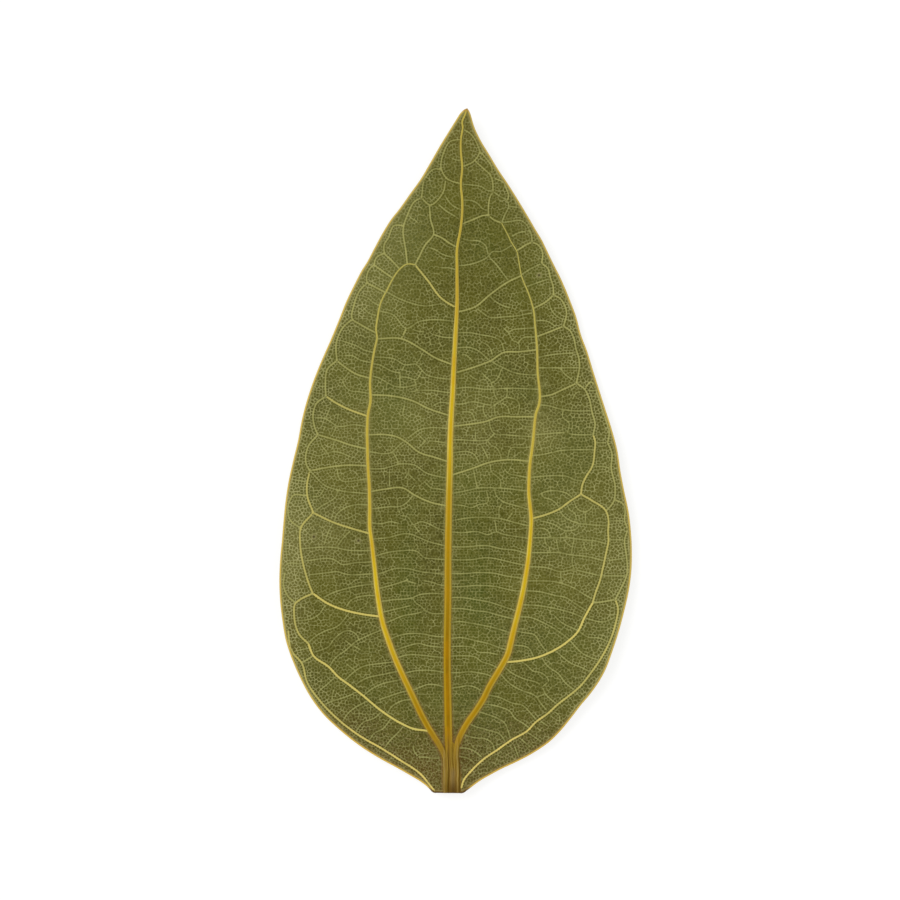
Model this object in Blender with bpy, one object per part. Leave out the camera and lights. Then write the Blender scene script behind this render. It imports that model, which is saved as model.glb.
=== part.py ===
"""A dried cinnamon leaf, 120 mm long, lying flat with its ribbed face up.

The leaf is one grown piece: a thin blade with a midrib, two long side ribs that start at the base,
a raised net of smaller veins, a beaded margin and the cut stub of its stem. The blade is dished a
little and waved, so it rests on a small flat spot under its weight. +Y runs to the tip, +Z is up.
"""

import math

import bmesh
import bpy
import numpy as np
from mathutils import Vector
from mathutils.geometry import delaunay_2d_cdt

MM = 0.001

# Driving sizes, in metres.
LEAF_LENGTH = 120 * MM
BLADE = 0.6 * MM
REST_SPOT = (0.0, -7 * MM)
REST_RADII = (10 * MM, 18 * MM)
DISH = 0.5 * MM
WAVE = 0.24 * MM
WAVE_LENGTH = 36 * MM
WAVE_TURN = 1.7
UNDERSIDE_SHARE = 0.5

# The photograph shows the leaf from straight above: its tip, its cut end and the middle of its box.
TIP_ROW, CUT_ROW = 108.5, 792.0
MIDDLE_COLUMN, MIDDLE_ROW = 456.0, 450.25
METRES_PER_PIXEL = LEAF_LENGTH / (CUT_ROW - TIP_ROW)

# Each kind of vein: half width and height where it starts and where it ends, how far apart the
# points along it are, and the rows of points across it as shares of the half width.
MIDRIB = dict(half=(0.75 * MM, 0.3 * MM), high=(0.75 * MM, 0.2 * MM), step=2.4 * MM, rows=(0, 0.5, 1))
SIDE_RIB = dict(half=(0.7 * MM, 0.28 * MM), high=(0.6 * MM, 0.16 * MM), step=2.3 * MM, rows=(0, 0.5, 1))
STEM = dict(half=(1.8 * MM, 1.1 * MM), high=(1.3 * MM, 0.7 * MM), step=1.4 * MM, rows=(0, 0.5, 1))
LOOP = dict(half=(0.32 * MM, 0.26 * MM), high=(0.24 * MM, 0.18 * MM), step=2.4 * MM, rows=(0, 1))
CROSS = dict(half=(0.26 * MM, 0.24 * MM), high=(0.15 * MM, 0.13 * MM), step=3.2 * MM, rows=(0, 1))
MARGIN_STEP = 2.4 * MM
CUT_STEP = 0.6 * MM
BEAD_INSET = 0.3 * MM
BEAD_HALF = 0.35 * MM
BEAD_HIGH = 0.14 * MM
FILL_STEP = 4.2 * MM
FILL_CLEARANCE = 1.7 * MM
EDGE_CLEARANCE = 0.12 * MM      # a vein's points stay this far inside the margin
RING_CLEARANCE = 0.9            # an inner ring's points keep this share of their inset
BURIED = 0.12                   # a vein's side row stops where another vein has this share of its height
MERGE_DISTANCE = 0.04 * MM
SHARP_ANGLE = math.radians(40)

# Outline, from the tip down each side to the cut end, in pixels of the photograph.
RIGHT_SIDE = [
    (466, 108.5), (468.5, 110.6), (471, 118.6), (473.7, 126.5), (480, 140), (488.7, 154.3),
    (498.3, 169.4), (507, 183), (516.5, 198), (528.2, 219.5), (536, 230), (542.5, 240), (547.2, 249.7),
    (553.6, 264), (560.7, 278), (566.3, 290), (571, 302), (575.8, 314), (580.5, 335.5), (586.5, 350),
    (592.5, 369.5), (598.8, 389.5), (605.2, 409.7), (610.7, 428.4), (616.7, 450), (619.8, 470.5),
    (623.4, 489.6), (627.8, 510.2), (630.2, 530), (631.2, 550), (630.6, 571), (628.2, 589), (623.4, 610.4),
    (618.6, 631), (611.9, 650.8), (604.4, 669), (599.6, 679.4), (590, 692.2), (579.8, 704.5),
    (570.2, 717.2), (559.1, 730.7), (549.6, 740.2), (540, 748.2), (530.5, 753.3), (517.3, 760.3),
    (500, 768.4), (489.5, 774), (480, 779.4), (469.3, 786.6), (462.8, 791.8)]
LEFT_SIDE = [
    (466, 108.5), (460, 113), (457, 117.8), (450, 129), (441, 145), (431, 162), (421, 179), (410, 194),
    (400, 208), (389.8, 219.5), (384, 230), (374.3, 249), (368.4, 261), (361.6, 271), (356.5, 281),
    (346, 301), (338, 320), (330.5, 340.3), (321.8, 360), (313.8, 380), (307, 400), (301.3, 420),
    (297.6, 440), (292.8, 460), (288.4, 480), (285.4, 500), (283.4, 520.5), (281.8, 540), (280, 560),
    (279.3, 580), (280, 599), (282.2, 619), (285.8, 639.7), (292.6, 660), (299.7, 678.6), (309.6, 694),
    (321.5, 713), (339, 729), (359.6, 745), (379.5, 757.3), (399.3, 768.2), (410.2, 774.6),
    (418.9, 779.9), (426, 785.3), (432.8, 791.4)]

# The three ribs and the stem stub, from the base outwards.
MIDRIB_ROUTE = [
    (448.5, 752), (448, 730), (447.4, 700), (446.8, 660), (446.9, 640), (447.5, 600), (447.6, 565),
    (448, 530), (448.6, 500), (449.4, 465), (450, 435), (451, 412), (452.4, 390), (453.4, 366),
    (454.6, 343), (455.8, 322.7), (456.7, 299), (456.4, 270), (456.8, 245), (459.4, 231.4),
    (461.2, 216), (461.8, 200), (460.4, 184), (461.8, 167), (460.4, 152), (460.6, 137), (462.6, 125),
    (464.5, 115.4)]
LEFT_RIB_ROUTE = [
    (444.5, 757), (442.7, 751), (438.7, 743.8), (433.2, 735), (426.8, 724.8), (420.5, 713),
    (414, 699.4), (407.8, 686.5), (402.2, 674.6), (396.9, 663), (390.2, 646), (386.6, 635.8),
    (383, 625), (380, 612), (377.9, 599), (376, 585), (374.5, 570), (372.8, 555), (371.2, 541),
    (369.5, 529), (369.2, 505), (368.8, 486), (367.6, 467), (367, 448.6), (366.8, 425), (367.4, 414.5),
    (370.1, 400), (369.6, 383), (371.2, 366), (374.3, 348), (376.6, 337), (375.6, 328), (376.7, 320),
    (380.7, 301.2), (387.4, 287.8), (393.5, 276.2), (400, 267.7), (406.8, 263.2), (414.5, 264)]
RIGHT_RIB_ROUTE = [
    (455.4, 757), (455.6, 750), (457.4, 741), (461, 732.7), (467.3, 721.6), (475.2, 710.5),
    (483.2, 697.8), (489.5, 685), (496, 674), (502, 664), (507.6, 653), (510.2, 643), (512.6, 632.6),
    (516, 619), (519, 607), (521.6, 596), (524, 584), (526, 572), (527.8, 560), (529.2, 546),
    (530.4, 531), (531, 518), (530, 507), (528.6, 494), (528.7, 479), (529.8, 462), (531.5, 450),
    (533, 438), (534.6, 420), (535.6, 413), (538.7, 404), (539.6, 396), (539, 387), (537.4, 372),
    (537, 356), (536.4, 343), (534.9, 326), (532.8, 307.6), (528.2, 293), (521, 275), (518.6, 262),
    (516, 250), (511, 242), (507, 233.8), (501, 222.5)]
STEM_ROUTE = [(450.4, 789.5), (450.2, 770), (449.6, 740)]

# Second veins: the loops beside the margin and the branches that carry them.
LOOP_ROUTES = [
    [(462.5, 129.5), (469.5, 133.5), (477, 145), (479, 151), (474, 160.5), (463, 166.5)],
    [(474, 160.5), (483, 168.5), (490, 175.5), (492, 181.5), (492.5, 191)],
    [(479, 151), (484, 156.5), (491.5, 169.5), (490, 175.5)],
    [(491.5, 177.5), (502, 182), (506, 189), (508, 195), (507, 200)],
    [(462, 184), (473, 185), (481, 186.5), (486.5, 190), (492.5, 191)],
    [(492.5, 191), (489.5, 197), (488, 205), (488, 215.5)],
    [(492.5, 191), (500, 196.5), (506.5, 200), (508, 206), (504.5, 214), (501, 222.5)],
    [(461.5, 223.5), (470.5, 220), (488, 215.5), (492.5, 219), (501, 222.5)],
    [(501, 222.5), (510, 221), (521, 220.5), (526, 224.5), (529, 230), (531, 235.5), (531.5, 242)],
    [(516, 250), (520.5, 247.5), (526, 244), (531.5, 242)],
    [(531.5, 242), (536, 243.5), (540, 247.5), (542, 253), (541, 263)],
    [(521, 274), (530.5, 268), (541, 263)],
    [(541, 263), (546.5, 267), (550, 278), (552.5, 286), (553, 294.5)],
    [(532.5, 308), (545.5, 301), (553, 294.5)],
    [(553, 294.5), (559, 297.5), (564, 304.5), (566, 313), (564.5, 320.5), (563, 325.5)],
    [(536, 336), (550.5, 330.5), (563, 325.5)],
    [(563, 325.5), (569.5, 330), (573, 336.5), (575.5, 348), (578.5, 358.5), (579, 363.5), (576, 382.5)],
    [(576, 382.5), (563, 388.5), (550.5, 394), (539.6, 396)],
    [(576, 382.5), (584, 388.5), (589, 399), (591.5, 411.5), (594.5, 423.5), (592.5, 434)],
    [(592.5, 434), (594.5, 440.5), (594, 450), (591.5, 466), (585.5, 476), (581.5, 485.5), (580.5, 493.5)],
    [(580.5, 493.5), (569.5, 500.5), (558.5, 508.5), (545.5, 514), (531, 518)],
    [(580.5, 493.5), (591, 499.5), (605.5, 510.5), (608, 520), (607.5, 530), (608, 539), (605.5, 552.5),
     (602.5, 566.5), (599, 581), (595.5, 590.5), (592, 602)],
    [(592, 602), (583.5, 617.5), (577, 631), (566.5, 641), (553.5, 649.5), (538.5, 656), (520, 660),
     (503.5, 661.5)],
    [(605.5, 510.5), (613, 500.5), (614.5, 487), (610.5, 467), (611, 452), (607, 442)],
    [(607, 442), (608.5, 433), (603, 413.5), (597, 395), (590, 381), (584, 388.5)],
    [(614, 499), (621.5, 502.5), (624, 507), (624, 520), (626.5, 528), (624, 539), (626, 557),
     (626.5, 572), (620, 588), (614.5, 598.5)],
    [(614.5, 598.5), (617, 605.5), (615, 621.5), (610, 637.5), (600.5, 656.5), (589.5, 672.5),
     (580, 684.5), (568.5, 694.5), (557.5, 703), (546.5, 713), (536, 720.5), (526, 730.5), (511, 739),
     (497.5, 748.5), (481.5, 759.5), (471.5, 769), (462.5, 780.5)],
    [(592, 602), (601, 601), (614.5, 598.5)],
    [(457, 265), (470, 263.5), (488.5, 255), (492, 251), (499, 251), (512, 244.5)],
    [(456.6, 311.5), (474.5, 306), (490, 293.5), (508, 281), (521, 275)],
    [(453.4, 372.5), (473, 366.5), (490, 360), (504, 351.5), (517.5, 351), (536.5, 349)],
    [(450.6, 425.5), (469, 423.5), (489, 419.5), (495, 417), (517.5, 416), (535, 416)],
    [(452.4, 388), (468, 386.5), (485, 388.5), (506, 387.5), (539, 388.5)],
    [(449.3, 475), (472.5, 467.5), (489.5, 461.5), (507, 459), (530, 460.5)],
    [(448.8, 493), (463.5, 490.5), (477, 487.5), (501, 487.5), (528.6, 490.5)],
    [(448.2, 520.5), (470, 517), (500, 518), (517, 522.5), (530.5, 525.5)],
    [(528.6, 552.5), (559, 552.5), (588, 556.5), (603.6, 560)],
    [(460.5, 139.5), (450, 141.5), (443, 153.5), (441, 169.5), (445.5, 177.5), (460.4, 184)],
    [(441, 169.5), (434.5, 169), (425, 178), (421, 197.5)],
    [(445.5, 177.5), (442.5, 192.5), (429, 204.5), (421, 197.5)],
    [(442.5, 192.5), (452, 205), (461.4, 210)],
    [(421, 197.5), (415, 200.5), (407.5, 213.5), (403, 227), (405.5, 251), (406.8, 263.2)],
    [(429, 204.5), (430, 218), (433, 234), (425, 244), (418, 257.5), (414.5, 264)],
    [(433, 234), (440, 236.5), (449, 242.5), (456.8, 247)],
    [(403, 225), (394, 225), (387.5, 238), (384, 243.5), (384.5, 253), (390, 258.5), (399, 268)],
    [(384.5, 253), (377, 256), (374, 263.5), (381, 269.5), (392.5, 277.5)],
    [(374, 263.5), (368.5, 269.5), (367, 282), (374, 286), (385.5, 292)],
    [(367, 282), (360.5, 288.5), (353.5, 305), (352, 318.5), (359.5, 323.5), (376, 332.5)],
    [(352, 318.5), (343, 326.5), (336, 342.5), (336.5, 360)],
    [(336.5, 360), (345.5, 367), (355, 373), (370, 377.5)],
    [(336.5, 360), (327.5, 368), (325, 384.5), (325.5, 395.5)],
    [(325.5, 395.5), (336, 402.5), (350.5, 409.5), (367.4, 415.5)],
    [(325.5, 395.5), (316, 403), (313, 411.5), (314.5, 427), (317.5, 434)],
    [(317.5, 434), (334.5, 439), (351, 444.5), (367, 448.3)],
    [(317.5, 434), (308, 445.5), (306.5, 465), (309.5, 470)],
    [(309.5, 470), (331, 466), (345, 464.5), (367.6, 465)],
    [(309.5, 470), (326, 485.5), (338.5, 489.5), (368.9, 493)],
    [(309.5, 470), (306.5, 485.5), (307, 495), (313, 512)],
    [(313, 512), (334, 522), (349, 527), (369.6, 533)],
    [(313, 512), (300.5, 527.5), (300, 543), (304, 567.5), (308.5, 582.5), (312.5, 592.5)],
    [(312.5, 592.5), (328, 603), (343, 609), (359.5, 613), (380.5, 616)],
    [(312.5, 592.5), (300, 598.5), (295.5, 602), (294, 614.5), (299.5, 634), (308, 642.5)],
    [(308, 642.5), (313, 654.5), (328.5, 666), (337.5, 675.5), (349.5, 684.5), (363, 695),
     (380.5, 709.5), (400, 722), (412, 727.5), (428, 730)],
    [(295.5, 602), (287.5, 594.5), (283.5, 584), (285, 571.5)],
    [(288, 629.5), (291.5, 650), (301.5, 662), (307, 681), (321.5, 701.5), (342, 721.5), (359.5, 734.5),
     (382, 747.5), (400, 759), (420, 772.5), (431, 785.5)],
    [(301.5, 662), (312.5, 655)],
    [(300.5, 527.5), (290, 519), (290, 499), (292.5, 495), (307, 495)],
    [(414.5, 264), (427.5, 280), (441, 297.5), (456.6, 307.5)],
    [(385, 290.5), (401.5, 299), (424, 305), (444.5, 302)],
    [(378.5, 310), (392.5, 314), (406, 327.5), (419.5, 320.5), (429.5, 319), (455.9, 320.5)],
    [(376.5, 338), (401, 338), (420.5, 348), (433, 356), (453.6, 364.5)],
    [(406, 327.5), (401, 338)],
    [(370, 394), (390, 395), (412, 400), (427.5, 407.5), (451, 415.5)],
    [(367, 434), (386.5, 434), (397.5, 436.5), (404.5, 440.5), (419.5, 452), (434, 456.5), (449.6, 461.5)],
    [(369, 491), (384, 488.5), (403, 487.5), (413.5, 494), (430, 501.5), (448.5, 505.5)],
    [(371, 538.5), (386.5, 537), (407, 533), (428.5, 541), (447.9, 546)],
    [(373, 356), (394.5, 358.5), (404.5, 364), (415, 363.5), (425, 373), (453, 379)],
    [(367.8, 468), (380.5, 468), (404, 463), (413, 464), (425.5, 472), (449.2, 478)]]

# Third veins: the ladder between the ribs and the coarse net out to the loops.
CROSS_ROUTES = [
    [(474.5, 306), (488, 316), (504.5, 316.5), (533.2, 312)],
    [(455.2, 332.5), (481, 334), (500, 340), (504, 351.5)],
    [(490, 360), (503, 367.5), (519, 373), (537.4, 374)],
    [(506.5, 387.5), (506.5, 396), (493, 405.5), (495, 417)],
    [(451.4, 403), (471.5, 401), (493, 405.5)],
    [(489, 419.5), (494.5, 433), (517.5, 435), (533.2, 436)],
    [(494.5, 433), (487.5, 439.5), (461, 439.5), (450, 439.5)],
    [(487.5, 439.5), (496, 447.5), (501.5, 459.5)],
    [(489.5, 461.5), (491.5, 471.5), (500.5, 479), (501, 487.5)],
    [(494, 488), (503, 501), (529.6, 509)],
    [(448.4, 504.5), (471.5, 507.5), (487, 502), (486.5, 488)],
    [(448, 531.5), (477.5, 531.5), (501.5, 533), (530, 538)],
    [(447.8, 546), (478.5, 545), (500, 548), (528.5, 554)],
    [(447.7, 559), (487, 557), (527.2, 565)],
    [(447.6, 573.5), (488, 572), (525, 579)],
    [(447.5, 586), (481, 584), (523, 591)],
    [(447.5, 597.5), (475, 599), (518, 611)],
    [(447, 622.5), (468, 621.5), (513, 632)],
    [(446.9, 638.5), (469, 638), (509.5, 648)],
    [(446.8, 656.5), (469, 656), (500, 667)],
    [(447, 672.5), (469, 671.5), (494, 677)],
    [(447.2, 688), (467.5, 685), (484, 693)],
    [(400, 386), (400, 372.5), (404.5, 364)],
    [(372, 375), (393.5, 385.5), (411, 384.5), (417.5, 390.5), (452.2, 392)],
    [(404.5, 440.5), (419.5, 429.5), (436.5, 427), (450.4, 428)],
    [(417.5, 449.5), (425, 441), (449.8, 443)],
    [(367, 451), (392, 451), (404.5, 440.5)],
    [(392, 451), (398.5, 463)],
    [(413.5, 494), (405.5, 503.5), (390, 506), (369.4, 508)],
    [(401, 515.5), (413.5, 524), (428.5, 523.5), (448, 531)],
    [(372.4, 556.5), (393.5, 551), (417.5, 551.5), (432.5, 558), (447.7, 560)],
    [(374.8, 574), (394.5, 568.5), (420.5, 571), (447.6, 574)],
    [(378, 601), (412.5, 597.5), (427.5, 593), (447.4, 593)],
    [(412.5, 597.5), (429, 612.5), (447.2, 613)],
    [(382, 623), (409.5, 614.5), (425, 610.5)],
    [(387, 640), (408, 633.5), (431.5, 634), (446.9, 636)],
    [(395, 658), (413.5, 655), (446.8, 657.5)],
    [(401.4, 673.5), (425, 670), (446.9, 672.5)],
    [(409, 690), (426, 684), (447.1, 687)],
    [(341, 340), (353.5, 343), (374, 352)],
    [(342, 380.5), (350.5, 390), (369.8, 393)],
    [(313, 417.5), (325.5, 418), (336, 425), (366.8, 426)],
    [(336, 465.5), (339.5, 478.5), (368.5, 478.5)],
    [(313, 512), (336, 495), (338.5, 489.5)],
    [(334, 522), (339.5, 511), (350, 507), (369.2, 504)],
    [(300.5, 548.5), (336, 547), (372, 550.5)],
    [(308, 574), (338, 571.5), (374.6, 573)],
    [(322.5, 599), (336, 590.5), (359.5, 585.5), (376, 583.5)],
    [(308, 642.5), (320, 633.5), (336, 626), (350, 611.5)],
    [(294.5, 620), (317.5, 615), (328, 603)],
    [(329.5, 666), (346, 649), (370.5, 633.5), (384, 628)],
    [(344.5, 681), (362, 666.5), (396.5, 661)],
    [(363, 695), (375.5, 687), (405, 678)],
    [(319.5, 700), (326.5, 684), (337.5, 675.5)],
    [(342, 721.5), (351.5, 710), (369, 700)],
    [(369, 739.5), (382, 728.5), (392, 717)],
    [(538, 357), (560.5, 353), (577, 352)],
    [(539, 404), (563, 409), (592, 410)],
    [(533.4, 434), (560.5, 432.5), (592.5, 434)],
    [(563, 409), (569.5, 423), (566, 432.5)],
    [(531.6, 455.5), (559, 450.5), (594, 449)],
    [(528.9, 477.5), (559, 475), (582.5, 480)],
    [(540, 493), (556, 490), (573.5, 498)],
    [(558.5, 508.5), (567, 518), (591, 524), (608, 525)],
    [(532, 519), (554.5, 524.5), (565.5, 530.5), (579.5, 523)],
    [(530, 537), (567, 537), (606.5, 543.5)],
    [(527.2, 566), (556, 568.5), (574, 569), (600, 575.5)],
    [(525.4, 580.5), (559, 582), (592, 598.5)],
    [(522.4, 591), (556, 595.5), (586.5, 612)],
    [(519.6, 604), (549.5, 606.5), (583.5, 617.5)],
    [(517, 616), (541, 621.5), (568, 639.5)],
    [(513.8, 629), (534.5, 634), (548, 652)],
    [(583.5, 617.5), (601, 621.5), (615.5, 616)],
    [(578, 630), (599, 637.5), (609, 640)],
    [(567, 640.5), (580.5, 651.5), (599, 659.5)],
    [(553.5, 649.5), (570, 662), (589.5, 672.5)],
    [(538.5, 656), (559, 674.5), (575, 689)],
    [(497, 672.5), (521, 677), (541, 685), (557.5, 703)],
    [(487, 690), (511, 702), (523.5, 705.5), (536, 720.5)],
    [(475.2, 710.5), (496.5, 717.5), (507, 725.5), (511, 739)],
    [(608, 520), (624, 520)],
    [(608, 539), (624, 539)],
    [(603.6, 560), (626, 557)],
    [(595, 442), (607, 442)]]


def place(points):
    """Pixels of the photograph as X and Y in metres on the leaf."""
    across, down = np.array(points, dtype=float).T
    return np.stack((across - MIDDLE_COLUMN, MIDDLE_ROW - down), axis=1) * METRES_PER_PIXEL


def smooth_route(points, step):
    """Points about one step apart on a smooth curve through the given ones."""
    knots = place(points)
    run = np.concatenate(([0.0], np.cumsum(np.hypot(*np.diff(knots, axis=0).T))))
    slopes = np.gradient(knots, run, axis=0)
    stations = np.linspace(0.0, run[-1], max(1, round(run[-1] / step)) + 1)
    first = np.clip(np.searchsorted(run, stations, side="right") - 1, 0, len(run) - 2)
    span = (run[first + 1] - run[first])[:, None]
    u = (stations - run[first])[:, None] / span
    start = knots[first] * (1 + 2 * u) * (1 - u) ** 2 + slopes[first] * span * u * (1 - u) ** 2
    end = knots[first + 1] * u ** 2 * (3 - 2 * u) + slopes[first + 1] * span * u ** 2 * (u - 1)
    return start + end


def left_normals(line):
    """The unit direction to the left of a line at each of its points."""
    along = np.gradient(line, axis=0)
    along /= np.hypot(*along.T)[:, None]
    return np.stack((-along[:, 1], along[:, 0]), axis=1)


def distance_to_line(points, line):
    """How far each point is from a line of points, and how far along the line it is nearest."""
    start, run = line[:-1], np.diff(line, axis=0)
    away = points[:, None, :] - start[None]
    share = np.clip((away * run).sum(axis=2) / (run ** 2).sum(axis=1), 0.0, 1.0)
    gaps = np.hypot(*np.moveaxis(away - share[..., None] * run, 2, 0))
    nearest = gaps.argmin(axis=1)
    rows = np.arange(len(points))
    return gaps[rows, nearest], (nearest + share[rows, nearest]) / len(run)


class Vein:
    """A raised vein: its line of points, its half width and its height from end to end."""

    def __init__(self, route, kind):
        self.line = smooth_route(route, kind["step"])
        self.half = kind["half"]
        self.high = kind["high"]
        self.rows = kind["rows"]

    def relief(self, points):
        gap, along = distance_to_line(points, self.line)
        half = np.interp(along, (0, 1), self.half)
        high = np.interp(along, (0, 1), self.high)
        return high * np.clip(1 - (gap / half) ** 2, 0.0, 1.0)

    def offset_row(self, share):
        half = np.interp(np.linspace(0, 1, len(self.line)), (0, 1), self.half)
        return self.line + left_normals(self.line) * (half * share)[:, None]


def make_veins():
    veins = [Vein(MIDRIB_ROUTE, MIDRIB), Vein(LEFT_RIB_ROUTE, SIDE_RIB), Vein(RIGHT_RIB_ROUTE, SIDE_RIB)]
    veins.append(Vein(STEM_ROUTE, STEM))
    veins += [Vein(route, LOOP) for route in LOOP_ROUTES]
    veins += [Vein(route, CROSS) for route in CROSS_ROUTES]
    return veins


def leaf_outline():
    """The margin as one closed ring of points, clockwise from the tip."""
    right = smooth_route(RIGHT_SIDE, MARGIN_STEP)
    left = smooth_route(LEFT_SIDE, MARGIN_STEP)
    cut = smooth_route([RIGHT_SIDE[-1], LEFT_SIDE[-1]], CUT_STEP)
    return np.concatenate((right[:-1], cut[:-1], left[:0:-1]))


def inside(points, ring):
    """Which points lie inside the closed ring."""
    x, y = points[:, 0, None], points[:, 1, None]
    ax, ay = ring.T
    bx, by = np.roll(ring, -1, axis=0).T
    slope = (bx - ax) / np.where(by == ay, 1.0, by - ay)
    crossings = ((ay > y) != (by > y)) & (x < ax + (y - ay) * slope)
    return crossings.sum(axis=1) % 2 == 1


def inner_ring(ring, inset):
    """The ring moved inwards, without the points that the leaf's narrow ends leave no room for."""
    closed = np.concatenate((ring[-1:], ring, ring[:1]))
    moved = ring - left_normals(closed)[1:-1] * inset
    gap, _ = distance_to_line(moved, np.concatenate((ring, ring[:1])))
    return moved[inside(moved, ring) & (gap > RING_CLEARANCE * inset)]


class Layout:
    """The flat drawing of the leaf: its points and the lines that its triangles must keep."""

    def __init__(self):
        self.points = []
        self.lines = []

    def add(self, points, joined):
        first = len(self.points)
        self.points += [tuple(point) for point in points]
        self.lines += [(first + a, first + b) for a, b in joined]


def ring_joints(count):
    return [(i, (i + 1) % count) for i in range(count)]


def row_joints(kept):
    """Joints between the neighbours of a row that are both kept, numbered as kept."""
    number = np.cumsum(kept) - 1
    return [(number[i], number[i + 1]) for i in range(len(kept) - 1) if kept[i] and kept[i + 1]]


def draw_layout(ring, veins):
    layout = Layout()
    layout.add(ring, ring_joints(len(ring)))
    closed = np.concatenate((ring, ring[:1]))
    for inset in (BEAD_INSET, BEAD_INSET + BEAD_HALF):
        layout.add(inner_ring(ring, inset), [])
    for vein in veins:
        for share in sorted({row * side for row in vein.rows for side in (-1, 1)}):
            row = vein.offset_row(share)
            gap, _ = distance_to_line(row, closed)
            kept = inside(row, ring) & (gap > EDGE_CLEARANCE)
            if share:
                for other in veins:
                    if other is not vein:
                        kept &= other.relief(row) < BURIED * other.high[1]
            layout.add(row[kept], row_joints(kept))
    add_fill(layout, ring)
    return layout


def add_fill(layout, ring):
    """Evenly spread points where the veins leave the blade open."""
    drawn = np.array(layout.points)
    low, high = ring.min(axis=0), ring.max(axis=0)
    rows = np.arange(low[1], high[1], FILL_STEP * math.sqrt(0.75))
    grid = [(x + (i % 2) * FILL_STEP / 2, y) for i, y in enumerate(rows)
            for x in np.arange(low[0], high[0], FILL_STEP)]
    grid = np.array(grid)
    grid = grid[inside(grid, ring)]
    gaps = np.hypot(*np.moveaxis(grid[:, None] - drawn[None], 2, 0)).min(axis=1)
    layout.add(grid[gaps > FILL_CLEARANCE], [])


def dish_height(x, y):
    """How far the blade stands off the surface: nothing on the rest spot, more towards the margin."""
    away = np.hypot((x - REST_SPOT[0]) / REST_RADII[0], (y - REST_SPOT[1]) / REST_RADII[1])
    lift = np.clip(away - 1, 0.0, None)
    turn = WAVE_TURN * np.sign(x) * np.minimum(np.abs(x) / REST_RADII[0], 1)
    swing = np.sin(math.tau * y / WAVE_LENGTH + turn)
    return DISH * lift ** 2 + WAVE * lift * (1 + swing)


def surface_relief(points, ring, veins):
    """How far veins and margin bead stand out of the upper face."""
    gap, _ = distance_to_line(points, np.concatenate((ring, ring[:1])))
    relief = BEAD_HIGH * np.clip(1 - np.abs(gap - BEAD_INSET) / BEAD_HALF, 0.0, 1.0)
    for vein in veins:
        relief = np.maximum(relief, vein.relief(points))
    return relief


def build_leaf_mesh():
    """A flat triangulated sheet, extruded to the blade's thickness and then raised by formula."""
    ring, veins = leaf_outline(), make_veins()
    layout = draw_layout(ring, veins)
    drawn = [Vector(point) / MM for point in layout.points]
    points, _, triangles, *_ = delaunay_2d_cdt(drawn, layout.lines, [], 1, MERGE_DISTANCE / MM)

    form = bmesh.new()
    corners = [form.verts.new((point.x * MM, point.y * MM, 0.0)) for point in points]
    for triangle in triangles:
        form.faces.new([corners[i] for i in triangle])
    bmesh.ops.delete(form, geom=[v for v in form.verts if not v.link_faces], context="VERTS")
    under = list(form.verts)
    grown = bmesh.ops.extrude_face_region(form, geom=list(form.faces), use_keep_orig=True)
    upper = [item for item in grown["geom"] if isinstance(item, bmesh.types.BMVert)]
    for side, is_upper in ((under, False), (upper, True)):
        spots = np.array([corner.co.xy for corner in side])
        relief = surface_relief(spots, ring, veins)
        stand = dish_height(*spots.T)
        if is_upper:
            heights = stand + BLADE + relief
        else:
            heights = np.maximum(stand - UNDERSIDE_SHARE * relief, 0.0)
        for corner, height in zip(side, heights):
            corner.co.z = height
    bmesh.ops.recalc_face_normals(form, faces=list(form.faces))
    mesh = bpy.data.meshes.new("leaf")
    form.to_mesh(mesh)
    form.free()
    return mesh


def dried_leaf_material():
    material = bpy.data.materials.new("dried_leaf")
    material.use_nodes = True
    shader = material.node_tree.nodes["Principled BSDF"]
    shader.inputs["Base Color"].default_value = (0.155, 0.148, 0.040, 1.0)
    shader.inputs["Roughness"].default_value = 0.62
    shader.inputs["Metallic"].default_value = 0.0
    material.diffuse_color = (0.155, 0.148, 0.040, 1.0)
    return material


def main():
    for old in list(bpy.data.objects):
        bpy.data.objects.remove(old, do_unlink=True)
    collection = bpy.data.collections.new("cinnamon_leaf")
    bpy.context.scene.collection.children.link(collection)
    mesh = build_leaf_mesh()
    mesh.materials.append(dried_leaf_material())
    mesh.shade_smooth()
    mesh.set_sharp_from_angle(angle=SHARP_ANGLE)
    collection.objects.link(bpy.data.objects.new("leaf", mesh))
    print("leaf triangles:", len(mesh.polygons))


main()
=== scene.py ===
# %% [markdown]
# A dried cinnamon leaf, seen from straight above. A leaf is one grown piece, but it is easier to model
# as the pieces a botanist would name: a thin blade with a net of veins, three thick ribs that run from
# the stem to the tip, and the cut stub of the stem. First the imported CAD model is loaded. It fixes the
# size, and every piece made here stays inside its box.

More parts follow.
